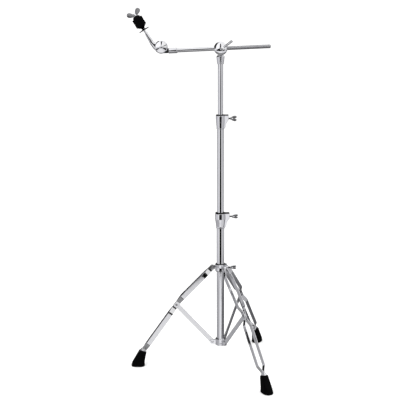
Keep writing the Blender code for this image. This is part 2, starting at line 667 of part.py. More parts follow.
def tilter_in_boom_frame():
    """The tilter's axis along and above the boom's axis."""
    x, z = TILTER_X, TILTER_Z - CLAMP_Z
    cos, sin = math.cos(BOOM_TILT), math.sin(BOOM_TILT)
    return x * cos - z * sin, x * sin + z * cos


def boom(bush_frame):
    """The boom: tube, knurled rod and the ferrule that carries the fixed tilter disc."""
    frame = empty("boom_frame", bush_frame)
    piece("boom_tube", along_x(tube(BOOM_RADIUS, BOOM_BORE, BOOM_LEFT, BOOM_STEP)), CHROME, frame)
    inside, grip, step = BOOM_BORE - GAP, BOOM_STEP - ROD_GRIP, BOOM_STEP + GAP
    end = [(0, grip), (inside, grip), (inside, step), (ROD_RADIUS, step), (ROD_RADIUS, BOOM_RIGHT - 0.0040)]
    end += [(ROD_RADIUS * 0.87, BOOM_RIGHT - 0.0014), (ROD_RADIUS * 0.5, BOOM_RIGHT - SLIDE), (0, BOOM_RIGHT)]
    piece("boom_rod", along_x(turned(end)), KNURL, frame)

    sleeve = [(0, FERRULE_LEFT), (0.0082, FERRULE_LEFT), (FERRULE_RADIUS, FERRULE_LEFT + 0.002)]
    sleeve += [(FERRULE_RADIUS, FERRULE_RIGHT - 0.001), (FERRULE_RADIUS - 0.001, FERRULE_RIGHT)]
    sleeve += [(0, FERRULE_RIGHT)]
    disc_x, disc_z = tilter_in_boom_frame()
    disc = along_y(rod(TILTER_RADIUS - 0.0004, -FIXED_HALF, FIXED_HALF, ROUND, 0.0010))
    disc = moved(disc, (disc_x, FIXED_Y, disc_z))
    root = FERRULE_LEFT + 0.004
    outline = [(disc_x - 0.004, -0.0085), (root, -0.0085), (root, 0.0070)]
    outline += [(disc_x + 0.012, 0.0150), (disc_x - 0.004, 0.0150)]
    neck = prism(outline, FIXED_Y - FIXED_HALF + 0.0008, FIXED_Y + FIXED_HALF - 0.0010, 0.0006)
    cuts = [
        along_x(rod(BOOM_RADIUS + GAP, BOOM_LEFT - GAP, 0)),
        rivet_hole(0.03, (disc_x, 0, disc_z)),
        moved(along_y(rod(0.0021, 0.0, 0.02, SMALL)), (FERRULE_SCREW_X, 0, 0)),
    ]
    piece("boom_ferrule", combined(along_x(turned(sleeve)), [disc, neck], cuts), CAST, frame)
    screw = rod(0.0018, BOOM_RADIUS + GAP, FERRULE_RADIUS + 0.0004, 16, 0.0003)
    piece("ferrule_screw", moved(along_y(screw), (FERRULE_SCREW_X, 0, 0)), NYLON, frame)
    return frame


# ---------------------------------------------------------------- tilter, rod and felts
def tilter(boom_frame):
    """The turning half of the tilter, with its cap, nut and bolt."""
    disc_x, disc_z = tilter_in_boom_frame()
    frame = empty("tilter_frame", boom_frame, (disc_x, 0, disc_z), (0, CYMBAL_LEAN - BOOM_TILT, 0))
    middle = CYMBAL_Y - BOOM_Y  # rod's axis in front of the boom's axis
    half = TILTER_HALF
    disc = moved(along_y(rod(TILTER_RADIUS, -half, half, ROUND, 0.0010)), (0, middle, 0))
    side = [(-0.0085, 0.0215), (-0.0125, 0.0480), (-0.0134, 0.0690), (-0.0150, 0.0710)]
    side += [(-0.0230, 0.0710), (-0.0246, 0.0690), (-0.0262, 0.0480), (-0.0276, 0.0300)]
    side += [(-0.0264, 0.0120), (-0.0232, -0.0020), (0.0, 0.0)]
    arm = moved(prism(side, -half + SLIDE, half - SLIDE, 0.0010), (0, middle, 0))
    rod_hole = rod(CYMBAL_ROD_RADIUS + GAP, CYMBAL_ROD_START - 0.0005, 0.08, SMALL)
    rod_hole = moved(rod_hole, (CYMBAL_ROD_OFFSET, middle, 0))
    piece("tilter_arm", combined(disc, [arm], [rivet_hole(0.03), rod_hole]), CAST, frame)

    front = -middle + half
    top = front + 0.0047
    dome = [(0, front + GAP), (0.0205, front + GAP), (0.0207, front + 0.0012), (0.0170, front + 0.0030)]
    dome += [(0.0110, front + 0.0042), (0.0060, top), (0, top)]
    piece("tilter_cap", combined(along_y(turned(dome)), cut=[rivet_hole(0.03)]), CHROME, frame)
    nut = [(0, top + GAP), (0.0048, top + GAP), (0.0048, top + 0.0015), (THREAD_RADIUS, top + 0.0029)]
    nut += [(0, top + 0.0033)]
    piece("tilter_nut", along_y(turned(nut)), STEEL, frame)
    bolt_frame = empty("tilter_bolt_frame", frame, (0, -top, 0))
    bolt = wing_screw(top + FIXED_Y + FIXED_HALF + GAP, WING_HUB_LENGTH, 0.020)
    piece("tilter_wing_bolt", moved(bolt, turn=(0, 0, math.pi / 2)), STEEL, bolt_frame)
    return empty("cymbal_rod_frame", frame, (CYMBAL_ROD_OFFSET, middle, 0))


def cymbal_seat(rod_frame):
    """The rod and what is threaded on it: seat washer, sleeve, two felts, top washer, wing nut."""
    thread_top = NUT_AT + 0.0175
    bar = [(0, CYMBAL_ROD_START), (CYMBAL_ROD_RADIUS, CYMBAL_ROD_START), (CYMBAL_ROD_RADIUS, NUT_AT - 0.0030)]
    bar += [(THREAD_RADIUS, NUT_AT - 0.0015), (THREAD_RADIUS, thread_top - 0.0010)]
    bar += [(THREAD_RADIUS - 0.0008, thread_top), (0, thread_top)]
    piece("cymbal_rod", turned(bar, SMALL), CHROME, rod_frame)

    hole = CYMBAL_ROD_RADIUS + SLIDE
    seat = WASHER_AT
    washer = [(hole, seat - 0.0002), (0.0062, seat - 0.0002), (0.0200, seat - 0.0018)]
    washer += [(0.0206, seat - 0.0004), (0.0200, seat + 0.0008)]
    washer += [(0.0062, seat + 0.0028), (hole, seat + 0.0028)]
    piece("seat_washer", turned(washer), RUBBER, rod_frame)
    low, high = WASHER_AT + 0.0031, FELT_AT - GAP
    sleeve = [(hole, low), (0.0058, low), (0.0075, low + 0.0050)]
    sleeve += [(0.0148, high - 0.0020), (0.0148, high), (hole, high)]
    piece("rod_sleeve", turned(sleeve), RUBBER, rod_frame)

    soften = 0.0008
    for name, low in (("lower_felt", FELT_AT), ("upper_felt", FELT_AT + FELT_HEIGHT + GAP)):
        high = low + FELT_HEIGHT
        shape = [(hole, low), (FELT_RADIUS - soften, low), (FELT_RADIUS, low + soften)]
        shape += [(FELT_RADIUS, high - soften), (FELT_RADIUS - soften, high), (hole, high)]
        piece(name, turned(shape), FELT, rod_frame)
    low, high = FELT_AT + 2 * (FELT_HEIGHT + GAP), NUT_AT - GAP
    top = [(hole, low), (0.0138, low), (0.0138, low + 0.0050), (0.0105, high), (hole, high)]
    piece("top_washer", turned(top), NYLON, rod_frame)

    nut_frame = empty("wing_nut_frame", rod_frame, (0, 0, NUT_AT))
    nut = moved(wing_screw(0.0, 0.0150, NUT_WING_REACH), turn=(0, -math.pi / 2, 0))
    nut = moved(nut, turn=(0, 0, math.radians(14)))
    bore = rod(THREAD_RADIUS + SLIDE, -0.01, 0.03, SMALL)
    piece("wing_nut", combined(nut, cut=[bore]), STEEL, nut_frame)


def build():
    """The whole stand, hung on the column's axis."""
    column = empty("column", at=(COLUMN_X, 0, 0))
    column_pieces(column)
    spider(column)
    hub_and_bolt(column)
    for name, azimuth in LEGS.items():
        leg(name, azimuth, column)
    boom_holder(column)
    boom_frame = boom(boom_clamp(column))
    cymbal_seat(tilter(boom_frame))
    bpy.context.view_layer.update()


build()
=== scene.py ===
"""Looks of the cymbal boom stand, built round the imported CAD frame.

Metres, in the CAD frame: +Z up, the cymbal end and one leg along -X, the levers facing -Y.
"""

import json
import math

import bmesh
import bpy
from mathutils import Matrix, Vector, noise


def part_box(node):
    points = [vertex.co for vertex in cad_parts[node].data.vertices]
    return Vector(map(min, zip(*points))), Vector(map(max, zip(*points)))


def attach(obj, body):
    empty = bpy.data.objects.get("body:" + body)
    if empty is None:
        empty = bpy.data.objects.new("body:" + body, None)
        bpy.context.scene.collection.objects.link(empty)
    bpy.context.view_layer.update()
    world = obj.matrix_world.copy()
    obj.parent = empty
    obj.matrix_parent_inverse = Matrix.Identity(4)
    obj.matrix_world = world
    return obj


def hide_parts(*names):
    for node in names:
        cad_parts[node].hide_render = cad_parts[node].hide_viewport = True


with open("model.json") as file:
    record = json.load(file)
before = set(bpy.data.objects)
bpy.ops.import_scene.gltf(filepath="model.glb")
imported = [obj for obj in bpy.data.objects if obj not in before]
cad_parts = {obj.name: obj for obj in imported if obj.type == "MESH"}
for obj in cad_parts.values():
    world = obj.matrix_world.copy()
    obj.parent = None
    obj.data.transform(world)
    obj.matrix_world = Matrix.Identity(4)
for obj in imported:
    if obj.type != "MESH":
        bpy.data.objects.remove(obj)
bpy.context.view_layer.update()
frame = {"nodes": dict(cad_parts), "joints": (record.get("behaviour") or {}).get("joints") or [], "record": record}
JOINTS = {joint["name"]: joint for joint in frame["joints"]}
LEGS = {"left": 180.0, "front": -60.0, "back": 60.0}  # azimuth in degrees
UP = Vector((0, 0, 1))
ACROSS = Vector((0, 1, 0))
shift = Matrix.Translation

# ---- places, from the frame
def middle(node):
    """Middle of a CAD node's box."""
    low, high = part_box(node)
    return (low + high) / 2


def round_node(node):
    """Radius, bottom and top of a CAD node that is round about an upright axis."""
    low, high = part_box(node)
    return (high.y - low.y) / 2, low.z, high.z


def joint_at(name):
    """A point on that joint's axis."""
    return Vector(JOINTS[name]["pos_m"])


def frame_at(origin, x=None, z=None):
    """A matrix whose Y axis stays the world's, with its X or its Z axis given."""
    x_axis = Vector(x).normalized() if x else ACROSS.cross(Vector(z)).normalized()
    z_axis = x_axis.cross(ACROSS).normalized()
    turn = Matrix((x_axis, ACROSS, z_axis)).transposed().to_4x4()
    return shift(origin) @ turn


COLUMN = Vector((*middle("base_tube").xy, 0))
AT_COLUMN = shift(COLUMN)
HUB_PIVOT = joint_at("left_leg_pivot") - COLUMN
PIVOT_RADIUS = HUB_PIVOT.xy.length
PIN = joint_at("left_brace_pivot") - joint_at("left_leg_pivot")
PIN_OUT, PIN_DOWN = abs(PIN.x), PIN.z
LINK_LENGTH = math.hypot(PIN_OUT, PIN_DOWN)
SPIDER_Z = middle("spider").z
CLAMP = joint_at("boom_tilt")
BOOM = frame_at(joint_at("boom_turn"), x=JOINTS["boom_turn"]["axis"])
ROD_AXIS = Vector(JOINTS["wing_nut_turn"]["axis"])
NUT_AT = (joint_at("wing_nut_turn") - joint_at("cymbal_tilt")).dot(ROD_AXIS)
ROD = frame_at(joint_at("wing_nut_turn") - ROD_AXIS * NUT_AT, z=ROD_AXIS)
TILTER = frame_at(joint_at("cymbal_tilt"), z=ROD_AXIS)
CLAMP_FRAME = frame_at(CLAMP, x=JOINTS["boom_turn"]["axis"])

# ---- sizes that the frame doesn't state
UPPER_ANGLE, LOWER_ANGLE = math.radians(44.3), math.radians(35.3)  # leg above and below its kink
STRIP_WIDTH, STRIP_THICKNESS, STRIP_SPREAD = 0.018, 0.0028, 0.014
BRACE_WIDTH, BRACE_THICKNESS = 0.017, 0.003
TONGUE = 0.004  # half the thickness of the hub's tongues
FOOT_TOP, FOOT_RADIUS = 0.0617, 0.321  # height of a foot's top, and its distance from the column
BOSS = 0.0062  # radius of the bosses round the wing bolts
BOLT_HOLE, PIVOT_HOLE = 0.0034, 0.0032  # radii of the holes for wing bolts and pivot bolts
LEVER_X = 0.005  # the clamp lever's place beside the middle of the cap
SCREW_X = -0.1665  # the ferrule screw's place along the boom
GAP = 0.0003  # room between parts that meet
ROUND, FINE = 96, 48  # points round a large and a small turned shape
LEG_TURNS = [(0, 0, math.radians(azimuth)) for azimuth in LEGS.values()]


# ---- meshes
def added(name, data):
    """A new object in the scene."""
    made = bpy.data.objects.new(name, data)
    bpy.context.scene.collection.objects.link(made)
    return made


def drawn(build, name="shape"):
    """The mesh that a bmesh holds."""
    mesh = bpy.data.meshes.new(name)
    build.to_mesh(mesh)
    build.free()
    return mesh


def to_mesh(build, close=1e-6):
    """A mesh from a bmesh, with merged points and faces pointing out."""
    bmesh.ops.remove_doubles(build, verts=build.verts, dist=close)
    bmesh.ops.recalc_face_normals(build, faces=build.faces)
    return drawn(build)


def moved(mesh, at=(0, 0, 0), turn=(0, 0, 0)):
    """The mesh turned about X, Y and Z (radians), then moved."""
    x, y, z = turn
    spin = Matrix.Rotation(z, 4, "Z") @ Matrix.Rotation(y, 4, "Y") @ Matrix.Rotation(x, 4, "X")
    mesh.transform(shift(at) @ spin)
    return mesh


def carved(mesh, cuts):
    """The mesh with the cuts that reach it taken away."""
    def box(of):
        return [(min(v.co[k] for v in of.vertices), max(v.co[k] for v in of.vertices)) for k in range(3)]

    helpers = [added("helper", mesh)]
    for cut in cuts:
        if all(a[0] < b[1] and b[0] < a[1] for a, b in zip(box(mesh), box(cut))):
            helpers.append(added("helper", cut.copy()))
            boolean = helpers[0].modifiers.new("cut", "BOOLEAN")
            boolean.operation = "DIFFERENCE"
            boolean.solver = "MANIFOLD"
            boolean.object = helpers[-1]
    graph = bpy.context.evaluated_depsgraph_get()
    result = bpy.data.meshes.new_from_object(helpers[0].evaluated_get(graph))
    for made in helpers:
        bpy.data.objects.remove(made, do_unlink=True)
    return result


def combined(base, joined=(), cut=()):
    """One mesh from a base and the shells sunk into it, all with the cuts taken away."""
    build = bmesh.new()
    for mesh in (base, *joined):
        build.from_mesh(carved(mesh, cut) if cut else mesh)
    return drawn(build)


def filleted(corners, closed=False, steps=5):
    """The (x, y, radius) corners of an outline, each rounded by an arc of its radius."""
    points = []
    count = len(corners)
    for n, (x, y, radius) in enumerate(corners):
        at = Vector((x, y))
        if radius <= 0 or (not closed and n in (0, count - 1)):
            points.append(tuple(at))
            continue
        back = Vector(corners[n - 1][:2]) - at
        ahead = Vector(corners[(n + 1) % count][:2]) - at
        half = back.angle(ahead) / 2
        reach = min(radius / math.tan(half), back.length * 0.49, ahead.length * 0.49)
        start, end = at + back.normalized() * reach, at + ahead.normalized() * reach
        round_off = reach * math.tan(half)
        centre = at + (back.normalized() + ahead.normalized()).normalized() * (round_off / math.sin(half))
        first, last = start - centre, end - centre
        sweep = first.angle_signed(last)
        for k in range(steps + 1):
            spoke = first.copy()
            spoke.rotate(Matrix.Rotation(-sweep * k / steps, 2))
            points.append(tuple(centre + spoke))
    return points


def circle(steps):
    """The cosine and sine of equal steps round a circle."""
    angles = (2 * math.pi * n / steps for n in range(steps))
    return [(math.cos(a), math.sin(a)) for a in angles]


def turned(profile, steps=ROUND):
    """A profile of (radius, height) points spun about Z; a profile off the axis is a ring."""
    build = bmesh.new()
    rings = []
    for radius, height in profile:
        around = [(0, 0)] if radius < 1e-7 else circle(steps)
        rings.append([build.verts.new((radius * x, radius * y, height)) for x, y in around])
    on_axis = len(rings[0]) == 1 and len(rings[-1]) == 1
    last = len(rings) - 1 if on_axis else len(rings)
    for n in range(last):
        low, high = rings[n], rings[(n + 1) % len(rings)]
        for k in range(steps):
            corners = [low[k % len(low)], low[(k + 1) % len(low)]]
            corners += [high[(k + 1) % len(high)], high[k % len(high)]]
            corners = list(dict.fromkeys(corners))
            if len(corners) > 2:
                build.faces.new(corners)
    return to_mesh(build)


def lathe(corners, steps=ROUND, arcs=4, tip=None):
    """A turned solid from (radius, height, fillet) corners, closed flat, or by a cone to tip."""
    end = corners[-1][1] if tip is None else tip
    return turned(filleted([(0, corners[0][1], 0), *corners, (0, end, 0)], steps=arcs), steps)


def pipe(corners, steps=ROUND):
    """A turned ring from the (radius, height, fillet) corners of its closed section."""
    return turned(filleted(corners, closed=True, steps=3), steps)


def sleeve(inner, outer, low, high, inside=0.0, foot=0.0, head=0.0):
    """A plain tube with rims rounded inside, and outside at its foot and its head."""
    return pipe([(inner, low, inside), (outer, low, foot), (outer, high, head), (inner, high, inside)])


def bar(radius, low, high, edge=0.0, steps=FINE):
    """A solid round bar along Z with rounded rims."""
    return lathe([(radius, low, edge), (radius, high, edge)], steps)


def along_x(mesh):
    """A shape along Z laid along +X."""
    return moved(mesh, turn=(0, math.pi / 2, 0))


def along_y(mesh):
    """A shape along Z laid along -Y, so that its top faces the front."""
    return moved(mesh, turn=(math.pi / 2, 0, 0))


def bar_x(radius, low, high, edge=0.0, z=0.0):
    """A round bar along X at height z."""
    return moved(along_x(bar(radius, low, high, edge)), (0, 0, z))


def bar_y(radius, low, high, x=0.0, z=0.0):
    """A round bar along -Y at x and z."""
    return moved(along_y(bar(radius, low, high)), (x, 0, z))


def skin(build, rings, caps=True):
    """Faces between rings of equally many points, with a cap on the first and the last."""
    if caps:
        build.faces.new(rings[0])
        build.faces.new(rings[-1])
    for low, high in zip(rings, rings[1:]):
        count = len(low)
        for k in range(count):
            nxt = (k + 1) % count
            build.faces.new((low[k], low[nxt], high[nxt], high[k]))


def inward(outline):
    """For each point of an outline, the way to move it so that both its edges move in by one."""
    area = sum(a[0] * b[1] - b[0] * a[1] for a, b in zip(outline, outline[1:] + outline[:1]))
    side = 1 if area > 0 else -1
    ways = []
    for n, point in enumerate(outline):
        before = (Vector(point) - Vector(outline[n - 1])).normalized()
        after = (Vector(outline[(n + 1) % len(outline)]) - Vector(point)).normalized()
        one = Vector((-before.y, before.x)) * side
        two = Vector((-after.y, after.x)) * side
        ways.append((one + two) / max(0.3, 1 + one.dot(two)))
    return ways


def prism(outline, low, high, edge=0.0, steps=4):
    """An outline of (x, z) points from y = low to y = high, with rims rounded by edge."""
    outline = [tuple(point) for point in outline]
    ways = inward(outline)
    rims = []
    for k in range(steps + 1 if edge else 1):
        a = math.pi / 2 * k / steps
        rims.append((edge * (1 - math.sin(a)), edge * (1 - math.cos(a))))
    levels = [(inset, low + rise) for inset, rise in rims]
    levels += [(inset, high - rise) for inset, rise in rims[::-1]]
    build = bmesh.new()
    rings = []
    for inset, y in levels:
        ring = []
        for (x, z), way in zip(outline, ways):
            ring.append(build.verts.new((x + way.x * inset, y, z + way.y * inset)))
        rings.append(ring)
    skin(build, rings)
    return to_mesh(build)


def arc(x, z, radius, start, end, steps):
    """Points on an arc, from start to end in degrees."""
    angles = (math.radians(start + (end - start) * n / steps) for n in range(steps + 1))
    return [(x + radius * math.cos(a), z + radius * math.sin(a)) for a in angles]


def stack(sections, power=2.6, steps=64):
    """Rounded rectangles at rising heights: each (x, z, half length, half width, slope)."""
    build = bmesh.new()
    rings = []
    for x, z, half_length, half_width, slope in sections:
        ring = []
        for c, s in circle(steps):
            u = math.copysign(abs(c) ** (2 / power), c) * half_length
            v = math.copysign(abs(s) ** (2 / power), s) * half_width
            ring.append(build.verts.new((x + u, v, z + u * slope)))
        rings.append(ring)
    skin(build, rings)
    return to_mesh(build)


def smooth_between(rows, share):
    """A row of numbers between given rows, on a smooth (Catmull-Rom) curve."""
    at = share * (len(rows) - 1)
    n = min(int(at), len(rows) - 2)
    t = at - n
    four = [rows[max(0, n - 1)], rows[n], rows[n + 1], rows[min(len(rows) - 1, n + 2)]]
    made = []
    for a, b, c, d in zip(*four):
        made.append(0.5 * (
            2 * b + (c - a) * t + (2 * a - 5 * b + 4 * c - d) * t * t + (3 * b - a - 3 * c + d) * t**3
        ))
    return tuple(made)


# ---- materials
def new_material(name):
    """A material with its tree, its shader and the object coordinates."""
    made = bpy.data.materials.new(name)
    made.use_nodes = True
    tree = made.node_tree
    shader = tree.nodes["Principled BSDF"]
    where = new_node(tree, "TexCoord").outputs["Object"]
    return made, tree, shader, where


def feed(tree, socket, value):
    """Give a socket a value, or a link from another socket."""
    if isinstance(value, bpy.types.NodeSocket):
        tree.links.new(value, socket)
    else:
        socket.default_value = value


def set_inputs(tree, node, **values):
    """Feed a node's sockets by name; an underscore in a name stands for a space."""
    for name, value in values.items():
        feed(tree, node.inputs[name.replace("_", " ")], value)


def new_node(tree, kind, **values):
    """A new shader node, with its sockets fed."""
    made = tree.nodes.new("ShaderNode" + kind)
    set_inputs(tree, made, **values)
    return made


def noise_node(tree, where, scale, detail=2.0, stretch=(1, 1, 1)):
    """A noise texture at that scale, stretched along the object's axes."""
    place = new_node(tree, "Mapping", Vector=where, Scale=stretch).outputs["Vector"]
    return new_node(tree, "TexNoise", Vector=place, Scale=scale, Detail=detail).outputs["Fac"]


def ranged(tree, value, low, high, start=0.3, end=0.7):
    """A value from start to end, mapped to low and high."""
    made = new_node(tree, "MapRange", Value=value, From_Min=start, From_Max=end, To_Min=low, To_Max=high)
    return made.outputs["Result"]


def math_node(tree, operation, *values):
    """A Math node; a value is a number or a socket."""
    made = new_node(tree, "Math")
    made.operation = operation
    for socket, value in zip(made.inputs, values):
        feed(tree, socket, value)
    return made.outputs[0]


def mixed(tree, value, first, second):
    """A colour between two, by a value from 0 to 1; a colour is three numbers or a socket."""
    made = new_node(tree, "Mix")
    made.data_type = "RGBA"
    feed(tree, made.inputs[0], value)
    for n, colour in ((6, first), (7, second)):
        feed(tree, made.inputs[n], (*colour, 1) if isinstance(colour, tuple) else colour)
    return made.outputs[2]


def painted(tree, shader, value, first, second, rough=None, start=0.3, end=0.7):
    """Base colour from first to second as value rises, and roughness with it."""
    colour = mixed(tree, ranged(tree, value, 0, 1, start, end), first, second)
    set_inputs(tree, shader, Base_Color=colour)
    if rough:
        set_inputs(tree, shader, Roughness=ranged(tree, value, *rough))


def bumped(tree, shader, heights):
    """Bump from several (height, strength, distance) layers."""
    normal = None
    for height, strength, distance in heights:
        made = new_node(tree, "Bump", Height=height, Strength=strength, Distance=distance)
        if normal:
            set_inputs(tree, made, Normal=normal)
        normal = made.outputs["Normal"]
    set_inputs(tree, shader, Normal=normal)


def plated(name, colour, smooth, rough, peel, stretch=(1, 1, 1)):
    """Plated metal: polish that varies in soft patches, fine buffing lines and a faint ripple."""
    made, tree, shader, where = new_material(name)
    set_inputs(tree, shader, Metallic=1.0)
    patches = noise_node(tree, where, 28, 3)
    painted(tree, shader, patches, tuple(c * 0.95 for c in colour), colour)
    lines = noise_node(tree, where, 900, 2, stretch)
    both = math_node(tree, "MULTIPLY_ADD", lines, 0.35, patches)
    set_inputs(tree, shader, Roughness=ranged(tree, both, smooth, rough, 0.45, 0.85))
    ripple = noise_node(tree, where, 160, 1)
    bumped(tree, shader, [(lines, 0.03, 0.00004), (ripple, peel, 0.0002)])
    return made


def knurled(name):
    """Plated steel with a cut diamond knurl, dull in its grooves."""
    made, tree, shader, where = new_material(name)
    set_inputs(tree, shader, Metallic=1.0)
    grain = noise_node(tree, where, 1500, 3)
    painted(tree, shader, grain, (0.34, 0.34, 0.35), (0.56, 0.56, 0.58), (0.2, 0.36))
    bumped(tree, shader, [(grain, 0.15, 0.00005)])
    return made


def moulded(name, shine, dust_and_sheen, dark, light, rough, grain, span=(0.3, 0.7)):
    """Black moulded rubber or nylon: cloudy colour patches, dust on the rubber and a painted sheen on the nylon,
    over a fine matt grain.

    The third argument is the scale and detail of the noise behind the dust and the painted sheen; grain is the
    same, with its bump's strength and depth.
    """
    made, tree, shader, where = new_material(name)
    set_inputs(tree, shader, Specular_IOR_Level=shine)
    painted(tree, shader, noise_node(tree, where, *dust_and_sheen), dark, light, rough, *span)
    scale, detail, strength, depth = grain
    bumped(tree, shader, [(noise_node(tree, where, scale, detail), strength, depth)])
    return made


def wool_felt(name):
    """Dense black wool felt: matted fibres of slightly different greys, with a soft sheen."""
    made, tree, shader, where = new_material(name)
    set_inputs(tree, shader, Roughness=1.0, Specular_IOR_Level=0.02)
    set_inputs(tree, shader, Sheen_Weight=0.005, Sheen_Roughness=0.6)
    fibres = noise_node(tree, where, 900, 6, (1, 1, 3))
    tufts = noise_node(tree, where, 260, 3)
    painted(tree, shader, fibres, (0.0004, 0.0004, 0.0005), (0.0024, 0.0024, 0.0026))
    bumped(tree, shader, [(tufts, 0.5, 0.0006), (fibres, 0.8, 0.0004)])
    return made


LOOKS = {  # the finish of each material slot
    "chrome": plated("polished_chrome", (0.9, 0.9, 0.915), 0.03, 0.07, 0.01, (1, 1, 0.02)),
    "leg_chrome": plated("chrome_strip", (0.79, 0.79, 0.8), 0.05, 0.1, 0.015, (1, 1, 0.05)),
    "cast_chrome": plated("chrome_casting", (0.86, 0.86, 0.88), 0.04, 0.09, 0.02),
    "bright_steel": plated("zinc_steel", (0.48, 0.48, 0.49), 0.12, 0.22, 0.03),
    "knurled_steel": knurled("knurled_steel"),
    "rubber": moulded(
        "black_rubber", 0.05, (60, 4), (0.0005, 0.0005, 0.0006), (0.0016, 0.0016, 0.0018),
        (0.5, 0.68), (1800, 3, 0.25, 0.0001), (0.4, 0.8),
    ),
    # the nylon's lighter cloudy patches are a painted sheen
    "nylon": moulded(
        "black_nylon", 0.06, (140, 2), (0.001, 0.001, 0.0012), (0.003, 0.003, 0.0032),
        (0.34, 0.48), (2200, 2, 0.12, 0.00008),
    ),
    "felt": wool_felt("black_felt"),
}
CHROME = LOOKS["chrome"]
WING = plated("wing_steel", (0.27, 0.27, 0.28), 0.16, 0.26, 0.03)
# Thread steel darkened to near black.
THREAD = plated("darkened_thread", (0.05, 0.05, 0.052), 0.25, 0.4, 0.03)
BODIES = frame["record"]["behaviour"]["bodies"]
BODY_OF = {node: body for body, nodes in BODIES.items() for node in nodes}
SLOT_OF = {part["node"]: part["material_slot"] for part in frame["record"]["subparts"]}


def piece(node, mesh, place, look=None, sharp=38, part="fine"):
    """A piece that stands for a CAD node, with its body and its finish or another look."""
    mesh.transform(place)
    mesh.materials.clear()
    mesh.materials.append(look or LOOKS[SLOT_OF[node]])
    mesh.shade_smooth()
    mesh.set_sharp_from_angle(angle=math.radians(sharp))
    made = added(f"{node}_{part}", mesh)
    weighted = made.modifiers.new("normals", "WEIGHTED_NORMAL")
    weighted.keep_sharp = True
    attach(made, BODY_OF[node])
    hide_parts(node)


def dress_cad():
    """Give every CAD node that stays in view the finish of its slot."""
    for node, made in frame["nodes"].items():
        made.data.materials.clear()
        made.data.materials.append(LOOKS[SLOT_OF[node]])


# ---- column
def column_tube(node, wall=0.0012, edge=0.0004):
    """A column tube with its ends deburred."""
    outer, low, high = round_node(node)
    piece(node, sleeve(outer - wall, outer, low, high, edge, edge, edge), AT_COLUMN)


def collar(name, tube_node, low, high, taper):
    """A collar's casting, with a rounded ear and a boss round its bolt."""
    box_low, box_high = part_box(name + "_collar")
    top, bottom = box_high.z, box_low.z
    height = top - bottom
    ear = box_high.x - COLUMN.x
    bolt_z = joint_at(name + "_bolt_turn").z
    start, end = taper
    rows = [(low, 0.03), (low, start - 0.03)]
    for share in (0.0, 0.14, 0.38, 0.62, 0.86, 1.0):
        radius = low + (high - low) * (share * 0.8 + 0.2 * share * share * (3 - 2 * share))
        rows.append((radius, start + (end - start) * share))
    rows += [(high, end + 0.03), (high, 0.985)]
    profile = [(0, bottom), (low - 0.0012, bottom), (low - 0.0004, bottom + 0.0004)]
    for n in range(49):
        radius, share = smooth_between(rows, n / 48)
        profile.append((radius, bottom + height * share))
    profile += [(high - 0.0003, top - 0.0003), (high - 0.0008, top), (0, top)]
    side = filleted([
        (0.004, top, 0), (ear, top, 0.0009), (ear, top - height * 0.3, 0.004),
        (ear * 0.72, top - height * 0.58, 0.006), (ear * 0.63, top - height * 0.85, 0.006),
        (low + 0.0002, bottom + 0.001, 0.003), (0.004, bottom + 0.001, 0),
    ], closed=True)
    lug = prism(side, -0.0075, 0.0075, 0.001)
    for vertex in lug.vertices:
        vertex.co.y *= 1.15 - 0.75 * (top - vertex.co.z) / height
    boss = bar_x(BOSS, ear - 0.004, ear, 0.0006, bolt_z)
    bore = bar(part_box(tube_node)[1].y + GAP, bottom - 0.01, top + 0.01, 0, ROUND)
    cuts = [bore, bar_x(BOLT_HOLE, 0.008, 0.06, 0, bolt_z)]
    piece(name + "_collar", combined(turned(profile), [lug, boss], cuts), AT_COLUMN)


def collar_bush(name, inner_node):
    """The black bush: a flange round the tube, over a sleeve in the collar."""
    low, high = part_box(name + "_collar_bush")
    collar_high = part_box(name + "_collar")[1]
    ear = collar_high.x - COLUMN.x - 0.0008
    radius = collar_high.y - 0.0004
    half = 0.0069
    start = math.degrees(math.asin(half / radius))
    flange = [*arc(0, 0, radius, start + 4, 356 - start, 60)]
    flange += filleted([
        (flange[-1][0] + 0.001, -half, 0.001), (ear, -half, 0.002),
        (ear, half, 0.002), (flange[0][0] + 0.001, half, 0.001),
    ])
    plate = moved(prism(flange, collar_high.z + GAP, high.z, 0.0007), turn=(math.pi / 2, 0, 0))
    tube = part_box(inner_node)[1].y
    bore, outer, top = tube + 0.0002, tube + 0.001, high.z - 0.001
    plate = combined(plate, cut=[bar(bore, low.z - 0.01, high.z + 0.01, 0, ROUND)])
    inside = sleeve(bore, outer, low.z, top)
    hole = bar_x(BOLT_HOLE, 0.004, 0.03, 0, joint_at(name + "_bolt_turn").z)
    piece(name + "_collar_bush", combined(plate, [inside], [hole]), AT_COLUMN)


def wing_lobe(reach, thickness):
    """One wing of a wing screw or nut: a rounded blade that rises along Z from the origin."""
    sections = []
    for n in range(21):
        a = math.pi * n / 20
        along = reach * (0.5 - 0.5 * math.cos(a))
        across = reach * (0.06 + 0.31 * math.sin(a) * (0.8 - 0.3 * math.cos(a)))
        thick = thickness * (0.14 + 0.36 * math.sin(a) ** 0.5)
        sections.append((0, along, across, thick, 0))
    return stack(sections, 2.3, 28)


def wing_screw(shank, length, reach, hub_radius=0.0058, wings_at=0.45, lean=72):
    """The two swept wings and the waisted hub of a wing screw along +X, beyond its shank."""
    body = lathe([
        (hub_radius, shank, 0.0006), (hub_radius, shank + length * 0.55, 0.003),
        (hub_radius * 0.8, shank + length, 0.001),
    ], FINE)
    parts = []
    for side in (1, -1):
        lobe = moved(wing_lobe(reach, 0.0044), turn=(0, math.radians(lean), 0))
        if side < 0:
            lobe = moved(lobe, turn=(math.pi, 0, 0))
        parts.append(moved(lobe, (shank + length * wings_at - 0.002, 0, side * (hub_radius - 0.0022))))
    return combined(parts[0], parts[1:]), along_x(body)


def wing_pieces(node, wings, boss, place, look=None):
    """A wing screw's or nut's pieces: wings as forged, and a polished hub between them."""
    piece(node, wings, place, look, 34)
    piece(node, boss, place, CHROME, 34, "boss")


